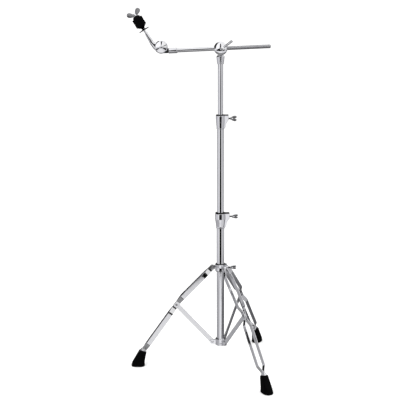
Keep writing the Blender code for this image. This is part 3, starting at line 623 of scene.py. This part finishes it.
def thread(length, radius=0.003, pitch=0.001):
    """A threaded shank along +X, as rings."""
    core = [(radius - 0.0006, 0, 0)]
    for n in range(int((length - 0.0012) / pitch)):
        core += [(radius - 0.0004, 0.0008 + n * pitch, 0), (radius, 0.0008 + (n + 0.5) * pitch, 0)]
    core.append((radius - 0.0004, length, 0))
    return along_x(lathe(core, 32))


def wing_bolt(name, hub_at, turn):
    """A collar's or the hub's wing bolt, in front of the tube that it presses on."""
    node = name + "_wing_bolt"
    start = joint_at(name + "_bolt_turn")
    place = shift(start)
    shank = hub_at - (start.x - COLUMN.x)
    wings, boss = wing_screw(shank, 0.01, 0.0205)
    wing_pieces(node, moved(wings, turn=(math.radians(turn), 0, 0)), boss, place)
    piece(node, thread(shank + 0.001), place, THREAD, part="thread")


def column():
    """Tubes, collars, bushes and wing bolts of the column."""
    for node in ("base_tube", "middle_tube", "upper_tube"):
        column_tube(node)
    collar("lower", "base_tube", 0.016, 0.0198, (0.12, 0.62))
    collar("upper", "middle_tube", 0.0144, 0.0172, (0.09, 0.92))
    collar_bush("lower", "middle_tube")
    collar_bush("upper", "upper_tube")
    for name, hub_at, turn in (("lower", 0.0434, 48), ("upper", 0.0372, 42), ("hub", 0.0381, 48)):
        wing_bolt(name, hub_at, turn)


# ---- tripod
def rivet_head(seat, radius=0.0046):
    """Half of a rivet's profile, from its hollow end out to its shank."""
    return [
        (0.0014, seat + 0.0004, 0.0003), (0.002, seat + 0.0017, 0.0003),
        (radius * 0.72, seat + 0.0016, 0.0008), (radius, seat, 0.0002), (0.0028, seat, 0),
    ]


def rivet(half_grip):
    """A rivet along Y with low, hollowed heads."""
    above = rivet_head(half_grip + GAP)
    below = [(radius, -height, fillet) for radius, height, fillet in above]
    return along_y(lathe([*below, *above[::-1]], FINE, 3))


def tongue(inner, outer, half, low, high, z, edge):
    """A lug from x = inner to a round end about x = outer."""
    outline = [(inner, z - half), *arc(outer, z, half, -90, 90, 24), (inner, z + half)]
    return prism(outline, low, high, edge)


def waisted(half, rim, waist):
    """The body of the hub or the spider: a slightly waisted round block."""
    return lathe([(rim, -half, 0.0012), (waist, 0, 0.02), (rim, half, 0.0005)])


def hub():
    """The sliding hub's casting, with three tongues and a boss for its wing bolt."""
    _, low, high = round_node("leg_hub")
    centre, half = (low + high) / 2, (high - low) / 2
    lift = HUB_PIVOT.z - centre
    lugs = []
    for turn in LEG_TURNS:
        lug = tongue(0.012, PIVOT_RADIUS, 0.0082, -TONGUE, TONGUE, lift, 0.0014)
        lugs.append(moved(lug, turn=turn))
    lugs.append(bar_x(BOSS, 0.012, 0.03, 0.0008))
    cuts = [bar(0.0163, -0.03, 0.03, 0, ROUND), bar_x(BOLT_HOLE, 0.01, 0.032)]
    place = shift(COLUMN + UP * centre)
    piece("leg_hub", combined(waisted(half, 0.0198, 0.0192), lugs, cuts), place)
    bore, outer, seat, rim = 0.0147, 0.016, half + GAP / 2, half + 0.0012
    bush = pipe([
        (bore, -rim, 0.0003), (0.0193, -rim, 0.0004), (0.0193, -seat, 0), (outer, -seat, 0),
        (outer, seat, 0), (0.0195, seat, 0), (0.0195, rim, 0.0004), (bore, rim, 0.0003),
    ])
    piece("hub_bush", combined(bush, cut=[bar_x(BOLT_HOLE, 0.01, 0.02)]), place)
    for name, azimuth in LEGS.items():
        turn = Matrix.Rotation(math.radians(azimuth), 4, "Z")
        at = shift(COLUMN + UP * HUB_PIVOT.z) @ turn
        at = at @ shift((PIVOT_RADIUS, 0, 0))
        piece(f"{name}_hub_rivet", rivet(TONGUE + GAP + STRIP_THICKNESS), at)


def spider():
    """The casting at the foot of the base tube, with a riveted clevis for each brace."""
    _, low, high = round_node("spider")
    inner, outer = BRACE_THICKNESS / 2 + 0.0005, BRACE_THICKNESS / 2 + 0.0031
    joined = []
    for turn in LEG_TURNS:
        for side in (1, -1):
            first, last = sorted((side * inner, side * outer))
            ear = tongue(0.012, PIVOT_RADIUS + 0.001, 0.0088, first, last, 0, 0.0008)
            head = lathe([(0.0046, outer - 0.0004, 0), *rivet_head(outer)[-2::-1]], FINE, 3)
            head = moved(head, (PIVOT_RADIUS, 0, 0), (-side * math.pi / 2, 0, 0))
            joined += [moved(ear, turn=turn), moved(head, turn=turn)]
    ring = waisted((high - low) / 2, 0.0193, 0.0188)
    bore = bar(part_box("base_tube")[1].y + GAP, -0.03, 0.03, 0, ROUND)
    piece("spider", combined(ring, joined, [bore]), shift(COLUMN + UP * SPIDER_Z))
    radius, bottom, top = round_node("base_tube_plug")
    shoulder = bottom + 0.0032
    plug = [
        (radius * 0.55, bottom + 0.0008, 0.0004), (radius * 0.6, bottom, 0.0003),
        (radius, bottom, 0.0012), (radius, shoulder, 0),
        (0.0128, shoulder, 0), (0.0128, top, 0.001),
    ]
    piece("base_tube_plug", lathe(plug), AT_COLUMN)


def way_down(angle):
    """The way down a leg at that angle from upright, as x outwards and z up."""
    return Vector((math.sin(angle), -math.cos(angle)))


def leg_lengths():
    """Distances along the leg's middle line from its pivot: to the kink, the pin and the foot."""
    pin = Vector((PIN_OUT, PIN_DOWN))
    upper, lower = way_down(UPPER_ANGLE), way_down(LOWER_ANGLE)
    kink = (pin.x * lower.y - pin.y * lower.x) / (upper.x * lower.y - upper.y * lower.x)
    pin_at = kink + (pin - upper * kink).length
    return kink, pin_at, pin_at + (HUB_PIVOT.z + PIN_DOWN - FOOT_TOP) / math.cos(LOWER_ANGLE)


def leg_point(s, bend=0.03):
    """Leg's middle line at distance s from its pivot: x outwards and z up, and its angle."""
    kink = leg_lengths()[0]
    upper, lower = way_down(UPPER_ANGLE), way_down(LOWER_ANGLE)
    t = min(1.0, max(0.0, (s - kink) / bend + 0.5))
    angle = UPPER_ANGLE + (LOWER_ANGLE - UPPER_ANGLE) * t
    at = upper * min(s, kink) + lower * max(0.0, s - kink)
    sag = (lower - upper) * bend / 2 * max(0.0, 0.5 - abs(t - 0.5)) ** 2
    return at + sag, angle


def leg_strip(side):
    """A flat steel strip, pressed together at the hub, the waist and the foot."""
    _, pin, foot = leg_lengths()
    half, thick, radius = STRIP_WIDTH / 2, STRIP_THICKNESS / 2, 0.0009
    at_hub = TONGUE + GAP + thick
    at_waist = BRACE_THICKNESS / 2 + GAP + thick
    bends = [  # start, end, depth before and after, and how much the bend is held back to its start
        (0.011, 0.053, at_hub, STRIP_SPREAD, 1.6),
        (pin - 0.042, pin - 0.0105, STRIP_SPREAD, at_waist, 1),
        (pin + 0.0105, pin + 0.042, at_waist, STRIP_SPREAD, 1),
        (foot - 0.04, foot - 0.006, STRIP_SPREAD, thick + GAP, 1),
    ]
    stations = [-half * math.cos(math.radians(a)) for a in range(8, 90, 8)]
    s = 0.0
    end = foot + 0.028
    while s < end:
        stations.append(s)
        s += 0.0016
    stations.append(end)

    def depth(s):
        y = at_hub
        for start, stop, before, after, ease in bends:
            t = 1 - (1 - min(1.0, max(0.0, (s - start) / (stop - start)))) ** ease
            if t > 0:
                y = before + (after - before) * t * t * (3 - 2 * t)
        return y

    build = bmesh.new()
    rings = []
    step = 0.0004
    for s in stations:
        width = math.sqrt(max(half * half - s * s, 0.0)) if s < 0 else half
        tilt = math.atan2(side * (depth(s + step) - depth(s - step)), 2 * step)
        at, angle = leg_point(s)
        along = Vector((math.sin(angle), 0, -math.cos(angle)))
        across = Vector((math.cos(angle), 0, math.sin(angle)))
        out = ACROSS * math.cos(tilt) - along * math.sin(tilt)
        ring = []
        for corner, (u_side, v_side) in enumerate(((1, 1), (-1, 1), (-1, -1), (1, -1))):
            for k in range(5):
                a = math.radians(90 * corner + 90 * k / 4)
                u = u_side * (width - radius) + radius * math.cos(a)
                v = v_side * (thick - radius) + radius * math.sin(a)
                point = Vector((at.x, side * depth(s), at.y)) + across * u + out * v
                ring.append(build.verts.new(point))
        rings.append(ring)
    skin(build, rings)
    return to_mesh(build, 1e-7)


def ferrule():
    """A pressed sleeve round both strips, with a rolled top edge, sunk into the foot."""
    rows = [
        (-0.03, 0.0112, 0.0054), (-0.0296, 0.0118, 0.006), (0.0026, 0.0118, 0.006),
        (0.0032, 0.0121, 0.0063), (0.0048, 0.0121, 0.0063), (0.0055, 0.0116, 0.0058),
        (0.0054, 0.01, 0.0042), (0.0042, 0.0094, 0.0034),
    ]
    return stack([(0, *row, 0) for row in rows], 4.0, 96)


def foot_mesh():
    """Rubber foot: a smooth flare from the ferrule to a ribbed sole."""
    rows = [
        (0.0000, 0.0042, 0.0262, 0.0190, 0.00),
        (-0.0007, 0.0120, 0.0250, 0.0184, 0.04),
        (-0.0035, 0.0210, 0.0229, 0.0176, 0.08),
        (-0.0070, 0.0300, 0.0208, 0.0166, 0.12),
        (-0.0111, 0.0400, 0.0184, 0.0155, 0.19),
        (-0.0152, 0.0500, 0.0163, 0.0144, 0.26),
        (-0.0188, 0.0590, 0.0146, 0.0132, 0.32),
    ]
    sections = [
        (0, 0.0000, 0.0225, 0.0150, 0), (0, 0.0004, 0.0236, 0.0162, 0),
        (0, 0.0012, 0.0249, 0.0176, 0), (0, 0.0026, 0.0258, 0.0186, 0),
    ]
    count = 44
    for n in range(count + 1):
        x, z, half_length, half_width, lean = smooth_between(rows, n / count)
        groove = 0.0006 if n in (5, 6, 10, 11, 15, 16) else 0.0
        sections.append((x, z, half_length - groove, half_width - groove, lean))
    sections += [
        (-0.0191, 0.0604, 0.0142, 0.0128, 0.32),
        (-0.0193, 0.0611, 0.0134, 0.0120, 0.32),
        (-0.0194, 0.0612, 0.0124, 0.0110, 0.32),
    ]
    return stack(sections, 2.6, 96)


def brace_mesh():
    """The flat link with round ends and softened edges."""
    half = BRACE_WIDTH / 2
    outline = [*arc(0, 0, half, 0, 180, 24), *arc(0, -LINK_LENGTH, half, 180, 360, 24)]
    band = prism(outline, -BRACE_THICKNESS / 2, BRACE_THICKNESS / 2, 0.0006)
    return moved(band, turn=(0, math.atan2(PIN_OUT, -PIN_DOWN), 0))


def leg(name, azimuth):
    """One leg, its foot and its brace."""
    pivot = joint_at(f"{name}_leg_pivot")
    place = shift(pivot) @ Matrix.Rotation(math.radians(azimuth), 4, "Z")
    for side, word in ((-1, "a"), (1, "b")):
        piece(f"{name}_leg_strip_{word}", leg_strip(side), place)
    at_pin = place @ shift((PIN_OUT, 0, PIN_DOWN))
    piece(f"{name}_brace_pin", rivet(BRACE_THICKNESS / 2 + GAP + STRIP_THICKNESS), at_pin)
    out = PIN_OUT + (HUB_PIVOT.z + PIN_DOWN - FOOT_TOP) * math.tan(LOWER_ANGLE)
    at_top = place @ shift((out, 0, FOOT_TOP - HUB_PIVOT.z))
    piece(f"{name}_ferrule", ferrule(), at_top @ Matrix.Rotation(-LOWER_ANGLE, 4, "Y"))
    sole = place @ shift((FOOT_RADIUS - PIVOT_RADIUS, 0, -HUB_PIVOT.z))
    piece(f"{name}_foot", foot_mesh(), sole)
    piece(f"{name}_brace", brace_mesh(), at_pin)


def tripod():
    """Hub, spider and the three legs."""
    hub()
    spider()
    for name, azimuth in LEGS.items():
        leg(name, azimuth)


# ---- boom clamp and boom
def clamp():
    """Socket with its fixed disc, the turning clamp, its domed cap, bush and lever."""
    place = shift(CLAMP)
    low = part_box("boom_holder")[0].z - CLAMP.z
    back, front = -0.01, 0.0083
    cone = lathe([
        (0.012, low, 0.0008), (0.015, -0.03, 0.0016), (0.0122, -0.0252, 0.002),
        (0.008, -0.0251, 0), (0.008, -0.018, 0),
    ])
    disc = along_y(lathe([
        (0.0215, back, 0.002), (0.0245, back + 0.0035, 0.002), (0.0245, front, 0.0006),
    ]))
    radius, _, top = round_node("upper_tube")
    bore = bar(radius + GAP, low - 0.01, top - CLAMP.z + GAP, 0, ROUND)
    cuts = [bore, bar_y(PIVOT_HOLE, -0.03, 0.03)]
    piece("boom_holder", combined(cone, [disc], cuts), place)
    bolt = [
        (0.006, -0.0152, 0.0012), (0.0066, -0.0135, 0.001), (0.0066, back - GAP, 0.0002),
        (0.003, back - GAP, 0), (0.003, 0.0125, 0.0004),
    ]
    piece("tilt_pivot_bolt", along_y(lathe(bolt, FINE)), place)

    boom_y = BOOM.translation.y - CLAMP.y
    radius = 0.0243
    body = along_y(lathe([
        (radius, 0.0086, 0.0008), (radius, 0.0215, 0.0004), (0.0237, 0.022, 0.0003),
        (radius, 0.0225, 0.0004), (radius, 0.0363, 0.001),
    ]))
    cuts = [
        moved(along_x(bar(0.0101, -0.04, 0.04, 0, ROUND)), (0, boom_y, 0)),
        bar_y(PIVOT_HOLE, -0.013, 0.013),
        bar_y(BOLT_HOLE, 0.03, 0.05, LEVER_X),
    ]
    piece("boom_clamp_body", combined(body, cut=cuts), CLAMP_FRAME)
    dome = [(0, 0.0366), (0.0233, 0.0366), (0.0236, 0.0368)]
    for n in range(25):
        a = math.pi / 2 * n / 24
        dome.append((0.0238 * math.cos(a), 0.0369 + 0.007 * math.sin(a)))
    dome[-1] = (0, dome[-1][1])
    cap = combined(along_y(turned(dome)), cut=[bar_y(BOLT_HOLE, 0.03, 0.06, LEVER_X)])
    piece("boom_clamp_cap", cap, CLAMP_FRAME)

    bush = sleeve(0.0075, 0.0098, -0.018, 0.018, 0.0003, 0.0006, 0.0006)
    piece("boom_bush", along_x(bush), BOOM)

    tip, seat, top = -boom_y + 0.0104, 0.0445, 0.0552
    boss = [
        (0.003, tip, 0), (0.003, seat, 0), (0.0082, seat, 0.0008),
        (0.0082, top - 0.0028, 0.0012), (0.001, top, 0.0006),
    ]
    grip = [(0.0034, 0, 0), (0.0036, 0.012, 0.01), (0.0043, 0.037, 0.01), (0.0044, 0.0462, 0.0042)]
    lean = math.radians(-37) + math.atan2(BOOM[2][0], BOOM[0][0])
    handle = moved(along_x(lathe(grip, FINE)), turn=(0, lean, 0))
    lever = combined(along_y(lathe(boss, FINE)), [moved(handle, (0, -0.0495, 0))])
    piece("boom_clamp_lever", lever, CLAMP_FRAME @ shift((LEVER_X, 0, 0)))


def knurl_mesh(low, high, radius, around=30, depth=0.00028, tip=0.0045):
    """The knurled rod along Z: a cut diamond pattern and a smooth rounded tip."""
    pitch = 2 * math.pi * radius / around
    steps = around * 5
    build = bmesh.new()
    rings = []
    start, stop = low + 0.006, high - 0.0075
    heights = [low]
    z = start
    while z < stop:
        heights.append(z)
        z += pitch / 5
    heights += [stop + 0.0004, stop + 0.0012]
    for z in heights:
        fade = min(1.0, max(0.0, (z - start) / 0.0015)) * min(1.0, max(0.0, (stop - z) / 0.0015))
        ring = []
        for n, (x, y) in enumerate(circle(steps)):
            a = 2 * math.pi * n / steps
            one = abs(math.sin((a * around + z * 2 * math.pi / pitch) / 2))
            two = abs(math.sin((a * around - z * 2 * math.pi / pitch) / 2))
            r = radius - fade * depth * (1 - min(1.0, 1.6 * min(one, two)))
            ring.append(build.verts.new((r * x, r * y, z)))
        rings.append(ring)
    for n in range(1, 9):
        a = math.pi / 2 * n / 8
        r = radius * (0.35 + 0.65 * math.cos(a))
        z = high - tip + tip * math.sin(a)
        rings.append([build.verts.new((r * x, r * y, z)) for x, y in circle(steps)])
    skin(build, rings)
    return to_mesh(build)


def boom():
    """Boom tube, knurled rod, ferrule with the tilter's fixed disc, and its screw."""
    left, step, right = -0.1872, 0.022, 0.182
    tube = sleeve(0.0061, 0.0073, left, step, 0.0003, 0.0004, 0.0005)
    piece("boom_tube", along_x(tube), BOOM)
    core = bar_x(0.0058, step - 0.06, step + 0.001, 0.0004)
    rod = combined(along_x(knurl_mesh(step + GAP, right, 0.0068)), [core])
    piece("boom_rod", rod, BOOM, sharp=60)

    radius = 0.0099
    ferrule_body = lathe([
        (radius, -0.189, 0.0016), (radius, -0.1606, 0.0004), (0.0095, -0.16, 0.0002),
        (radius, -0.1594, 0.0004), (radius, -0.1575, 0.0012),
    ])
    local = BOOM.inverted() @ joint_at("cymbal_tilt")
    disc = along_y(lathe([(0.0234, -0.005, 0.001), (0.0234, 0.005, 0.001)]))
    disc = moved(disc, (local.x, 0.0055, local.z))
    root, end = -0.185, local.x - 0.004
    neck = filleted([
        (end, -0.0085, 0), (root, -0.0085, 0.001), (root, 0.007, 0.002),
        (local.x + 0.012, 0.015, 0.002), (end, 0.015, 0),
    ], closed=True)
    cuts = [
        along_x(bar(0.0076, left - GAP, 0, 0, ROUND)),
        bar_y(PIVOT_HOLE, -0.03, 0.03, local.x, local.z),
        bar_y(0.0021, 0.0, 0.02, SCREW_X),
    ]
    mesh = combined(along_x(ferrule_body), [disc, prism(neck, 0.0013, 0.0095, 0.001)], cuts)
    piece("boom_ferrule", mesh, BOOM)
    screw = lathe([
        (0.0018, 0.0076, 0), (0.0018, 0.0103, 0.0002), (0.001, 0.0103, 0), (0.0009, 0.0094, 0),
    ], FINE)
    piece("ferrule_screw", moved(along_y(screw), (SCREW_X, 0, 0)), BOOM)


# ---- tilter, rod and felts
def tilter():
    """Turning half of the tilter with its cap, nut and wing bolt."""
    centre_y = ROD.translation.y - TILTER.translation.y
    rod_x = (TILTER.inverted() @ ROD.translation).x
    half = 0.0048
    disc = along_y(lathe([
        (0.0238, -half, 0.0014), (0.0238, half - 0.0018, 0.001), (0.0208, half, 0.0004),
    ]))
    rows = [
        (-0.0098, -0.0020, 0.0134, 0.0046, 0), (-0.0102, 0.0050, 0.0150, 0.0046, 0),
        (-0.0110, 0.0120, 0.0156, 0.0046, 0), (-0.0164, 0.0215, 0.0110, 0.0047, 0),
        (-0.0196, 0.0300, 0.0080, 0.0050, 0), (-0.0195, 0.0400, 0.0073, 0.0052, 0),
        (-0.0193, 0.0500, 0.0067, 0.0054, 0), (-0.0191, 0.0600, 0.0060, 0.0054, 0),
        (-0.0190, 0.0690, 0.0054, 0.0054, 0),
    ]
    sections = [smooth_between(rows, n / 40) for n in range(41)]
    for z, radius in ((0.07, 0.0053), (0.0708, 0.005), (0.071, 0.0047)):
        sections.append((-0.019, z, radius, radius, 0))
    arm = moved(stack(sections, 2.1), (0, centre_y, 0))
    hole = bar_y(PIVOT_HOLE, -0.03, 0.03)
    rod_hole = moved(bar(0.0047, 0.05, 0.08), (rod_x, centre_y, 0))
    piece("tilter_arm", combined(moved(disc, (0, centre_y, 0)), [arm], [hole, rod_hole]), TILTER)

    front = -centre_y + half
    cone = lathe([
        (0.0204, front + GAP, 0.0003), (0.0206, front + 0.0008, 0.0003),
        (0.0194, front + 0.0011, 0.0004), (0.0034, front + 0.0046, 0.001),
    ], 128)
    piece("tilter_cap", combined(along_y(cone), cut=[bar_y(PIVOT_HOLE, -0.03, 0.03)]), TILTER)
    back = front + 0.0047 + GAP
    nut = [(0.0048, back, 0.0003), (0.0048, back + 0.001, 0.0006), (0.0034, back + 0.0024, 0.0008)]
    piece("tilter_nut", along_y(lathe(nut, FINE, tip=back + 0.003)), TILTER, CHROME)
    start = joint_at("tilter_bolt_turn")
    shank = abs(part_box("boom_ferrule")[1].y + GAP - start.y)
    turn = shift(start) @ TILTER.to_3x3().to_4x4() @ Matrix.Rotation(math.pi / 2, 4, "Z")
    wing_pieces("tilter_wing_bolt", *wing_screw(shank, 0.008, 0.0195), turn)
    piece("tilter_wing_bolt", thread(shank + 0.001), turn, THREAD, part="thread")


def felt_mesh(low, high, radius, hole, seed):
    """A thick felt washer with slightly pulled-in rims and an uneven, matted surface."""
    edge = 0.0016
    section = filleted([
        (hole, low, 0.0004), (radius, low, edge), (radius + 0.0002, (low + high) / 2, 0.02),
        (radius, high, edge), (hole, high, 0.0004),
    ], closed=True, steps=4)
    dense = []
    for n, point in enumerate(section):
        nxt = Vector(section[(n + 1) % len(section)])
        here = Vector(point)
        count = max(1, int((nxt - here).length / 0.0011))
        dense += [tuple(here.lerp(nxt, k / count)) for k in range(count)]
    mesh = turned(dense, 132)
    for vertex in mesh.vertices:
        at = vertex.co * 420 + Vector((seed, 0, 0))
        push = noise.noise(at) * 0.00014 + noise.noise(at * 0.22) * 0.00016
        flat = Vector((vertex.co.x, vertex.co.y, 0))
        if flat.length > hole + 0.0008:
            vertex.co += flat.normalized() * push
            vertex.co.z += noise.noise(at + Vector((9, 9, 9))) * 0.00008
    return mesh


def cymbal_seat():
    """Rod, seat washer, sleeve, felts, top washer and wing nut."""
    rod_end = NUT_AT + 0.009
    shape = [(0.0044, 0.0505, 0.0004), (0.0044, NUT_AT - 0.003, 0.0004), (0.003, NUT_AT - 0.0015, 0)]
    z = NUT_AT - 0.001
    while z < rod_end - 0.0016:
        shape += [(0.0026, z, 0), (0.003, z + 0.0005, 0)]
        z += 0.001
    shape += [(0.0026, rod_end - 0.0006, 0), (0.0022, rod_end, 0.0003)]
    piece("cymbal_rod", lathe(shape, FINE), ROD)
    hole, seat, felt_at, height = 0.0046, 0.085, 0.1003, 0.0162
    washer = pipe([
        (hole, seat - 0.0002, 0), (0.007, seat - 0.0004, 0.002), (0.0198, seat - 0.0018, 0.0004),
        (0.0206, seat - 0.0012, 0.0004), (0.0204, seat + 0.0002, 0.0005),
        (0.007, seat + 0.002, 0.003), (0.0062, seat + 0.0028, 0.0004), (hole, seat + 0.0028, 0),
    ])
    piece("seat_washer", washer, ROD)
    low, high = seat + 0.0031, felt_at - GAP
    flared = pipe([
        (hole, low, 0), (0.0058, low, 0.0004), (0.0066, low + 0.0048, 0.004),
        (0.0148, high - 0.0022, 0.0008), (0.0148, high, 0.0004), (hole, high, 0),
    ])
    piece("rod_sleeve", flared, ROD)
    for name, low, seed in (("lower_felt", felt_at, 3.0), ("upper_felt", felt_at + height + GAP, 11.0)):
        piece(name, felt_mesh(low, low + height, 0.0195, hole, seed), ROD, sharp=80)
    low = felt_at + 2 * (height + GAP)
    top = pipe([
        (hole, low, 0), (0.0138, low, 0.0006), (0.0138, low + 0.0046, 0.0012),
        (0.0108, low + 0.006, 0.001), (0.0105, NUT_AT - GAP, 0.0005), (hole, NUT_AT - GAP, 0),
    ])
    piece("top_washer", top, ROD)
    nut = []
    for mesh in wing_screw(0.0, 0.0095, 0.0268, 0.006, 0.5, 37):
        mesh = moved(moved(mesh, turn=(0, -math.pi / 2, 0)), turn=(0, 0, math.radians(14)))
        nut.append(combined(mesh, cut=[bar(0.0032, -0.01, 0.03)]))
    place = shift(joint_at("wing_nut_turn")) @ ROD.to_3x3().to_4x4()
    wing_pieces("wing_nut", *nut, place, WING)


# ---- studio
# What the polished metal mirrors: soft panels round the stand, each given by the middle of its
# azimuth (degrees from the front, to the right), its half width, its lowest and highest
# elevation, how soft its rims are, and its colour: red and green alike, then blue. A later
# panel covers an earlier one.
PANELS = [
    (114, 72, -70, -13.5, 6, 0.13, 0.14),  # right floor
    (112, 64, -13, 30, 6, 0.52, 0.54),  # right wall
    (-118, 58, -24, -1.2, 2, 0.61, 0.65),  # left wall
    (-102, 70, -1.5, 60, 2, 0.03, 0.03),  # dark curtain above it
    (180, 50, -35, 40, 4, 0.015, 0.015),  # dark back wall
    (-152, 14, -40, 40, 4, 0.01, 0.01),  # dark curtain at the back left
    (-43, 33, -15, -1.2, 4, 0.64, 0.67),  # left screen
    (-20, 14, -2, 62, 4, 1.1, 1.12),  # left softbox
    (46, 36, -15, -1.2, 4, 0.52, 0.54),  # right screen
    (30, 20, -1.5, 62, 4, 0.95, 0.95),  # right softbox
    (-40, 10, -15, -1.2, 2, 0.92, 0.94),  # left screen's lit edge
    (39, 9, -15, -1.2, 2, 0.7, 0.72),  # right screen's lit edge
    (-75, 45, -40, -15, 3, 0.44, 0.46),  # floor at the left
    (0, 36, -30, -15, 8, 0.77, 0.8),  # floor in front
    (-4, 14, -30, -15, 6, 0.9, 0.92),  # lit middle of it
    (62, 30, -31, -20, 3, 0.68, 0.7),  # floor at the right
    (-40, 24, -40, -29, 2, 0.01, 0.01),  # dark cloth on it, to the left
    (15, 6.5, -4, 10.5, 2, 0.01, 0.01),  # lamp rail
]
SKY = [  # elevation and brightness
    (-90, 0.2), (-60, 0.28), (-45, 0.4), (-38, 0.25), (-33, 0.14),
    (-26, 0.6), (-15, 0.8), (0, 0.9), (30, 1.1), (90, 0.95),
]
STAND = (0.003, 0.003, 0.003)  # the stand's own reflection
CAMERA_AT = (COLUMN.x - 0.0772, -3.339, 1.272)
LENS, PITCH, ROLL = 81, math.radians(-10.44), math.radians(-0.22)
WHITE = (1.15, 1.15, 1.15, 1)
LAMPS = (("key", (-1.6, -2.2, 3.0), 2.2, 60), ("fill", (2.4, -1.4, 2.2), 2.0, 25))
LIT_AT = Vector((0, 0, 0.6))


def soft_step(tree, value, start, end):
    """0 before start and 1 after end, with a smooth rise (or fall, if end is below start)."""
    made = new_node(tree, "MapRange", Value=value, From_Min=start, From_Max=end)
    made.interpolation_type = "SMOOTHSTEP"
    return made.outputs["Result"]


def studio_world():
    """Panels for what the metal mirrors, and plain white for what the camera sees."""
    world = bpy.data.worlds.new("studio")
    bpy.context.scene.world = world
    world.use_nodes = True
    tree = world.node_tree
    tree.nodes.clear()

    def calc(operation, *values):
        return math_node(tree, operation, *values)

    def step(value, start, end):
        return soft_step(tree, value, start, end)

    where = new_node(tree, "TexCoord").outputs["Generated"]
    x, y, z = new_node(tree, "SeparateXYZ", Vector=where).outputs
    azimuth = calc("DEGREES", calc("ARCTAN2", x, calc("MULTIPLY", y, -1)))
    elevation = calc("DEGREES", calc("ARCSINE", z))
    ramp = new_node(tree, "ValToRGB", Fac=ranged(tree, elevation, 0, 1, -90, 90))
    while len(ramp.color_ramp.elements) < len(SKY):
        ramp.color_ramp.elements.new(0.5)
    for element, (degrees, value) in zip(ramp.color_ramp.elements, SKY):
        element.position = (degrees + 90) / 180
        element.color = (value, value, value * 1.02, 1)
    colour = ramp.outputs["Color"]
    for turn, half, low, high, soft, grey, blue in PANELS:
        away = calc("ABSOLUTE", calc("WRAP", calc("SUBTRACT", azimuth, turn), 180, -180))
        side = step(away, half + soft / 2, half - soft / 2)
        above = step(elevation, low - soft / 2, low + soft / 2)
        below = step(elevation, high + soft / 2, high - soft / 2)
        mask = calc("MULTIPLY", calc("MULTIPLY", above, below), side)
        colour = mixed(tree, mask, colour, (grey, grey, blue))
    # The stand itself, dark in front of the panels and wider towards its foot.
    drop = calc("MAXIMUM", calc("MULTIPLY", elevation, -1), 0)
    half = calc("MINIMUM", calc("MULTIPLY_ADD", drop, 2.1, 7.0), 30)
    half = calc("SUBTRACT", half, calc("MULTIPLY", step(elevation, 0, 3), 3.2))
    side = step(calc("SUBTRACT", half, calc("ABSOLUTE", azimuth)), -1, 1)
    upright = calc("MULTIPLY", step(elevation, -15.25, -15.0), step(elevation, 38, 34))
    colour = mixed(tree, calc("MULTIPLY", side, upright), colour, STAND)
    mirrored = new_node(tree, "Background", Color=colour)
    plain = new_node(tree, "Background", Color=WHITE)
    chosen = new_node(tree, "MixShader", Fac=new_node(tree, "LightPath").outputs["Is Glossy Ray"])
    feed(tree, chosen.inputs[1], plain.outputs[0])
    feed(tree, chosen.inputs[2], mirrored.outputs[0])
    new_node(tree, "OutputWorld", Surface=chosen.outputs[0])


def floor():
    """A plain white floor, which the polished metal doesn't mirror: its panels stand for it."""
    build = bmesh.new()
    bmesh.ops.create_circle(build, cap_ends=True, segments=64, radius=40)
    made = added("floor", drawn(build, "floor"))
    paint, tree, shader, where = new_material("floor_paint")
    shade = mixed(tree, noise_node(tree, where, 3, 2), (0.93, 0.93, 0.93), (0.95, 0.95, 0.95))
    set_inputs(tree, shader, Base_Color=shade, Roughness=0.9, Specular_IOR_Level=0.0)
    made.data.materials.append(paint)
    made.visible_glossy = False


def lights():
    """One large soft key from the upper left and a weaker fill from the right."""
    for name, at, size, power in LAMPS:
        lamp = bpy.data.lights.new(name, "AREA")
        lamp.size = size
        lamp.energy = power
        made = added(name, lamp)
        made.location = at
        made.rotation_euler = (LIT_AT - Vector(at)).to_track_quat("-Z", "Y").to_euler()
        made.visible_glossy = False


def camera():
    """Camera at the height of the boom clamp, looking slightly down along +Y."""
    lens = bpy.data.cameras.new("camera")
    lens.sensor_width = 36
    lens.lens = LENS
    made = added("camera", lens)
    turn = Matrix.Rotation(math.pi / 2 + PITCH, 4, "X") @ Matrix.Rotation(ROLL, 4, "Z")
    made.matrix_world = shift(CAMERA_AT) @ turn
    bpy.context.scene.camera = made


bpy.context.scene.view_settings.view_transform = "Standard"
camera()
lights()
studio_world()
floor()
dress_cad()
column()
tripod()
clamp()
boom()
tilter()
cymbal_seat()
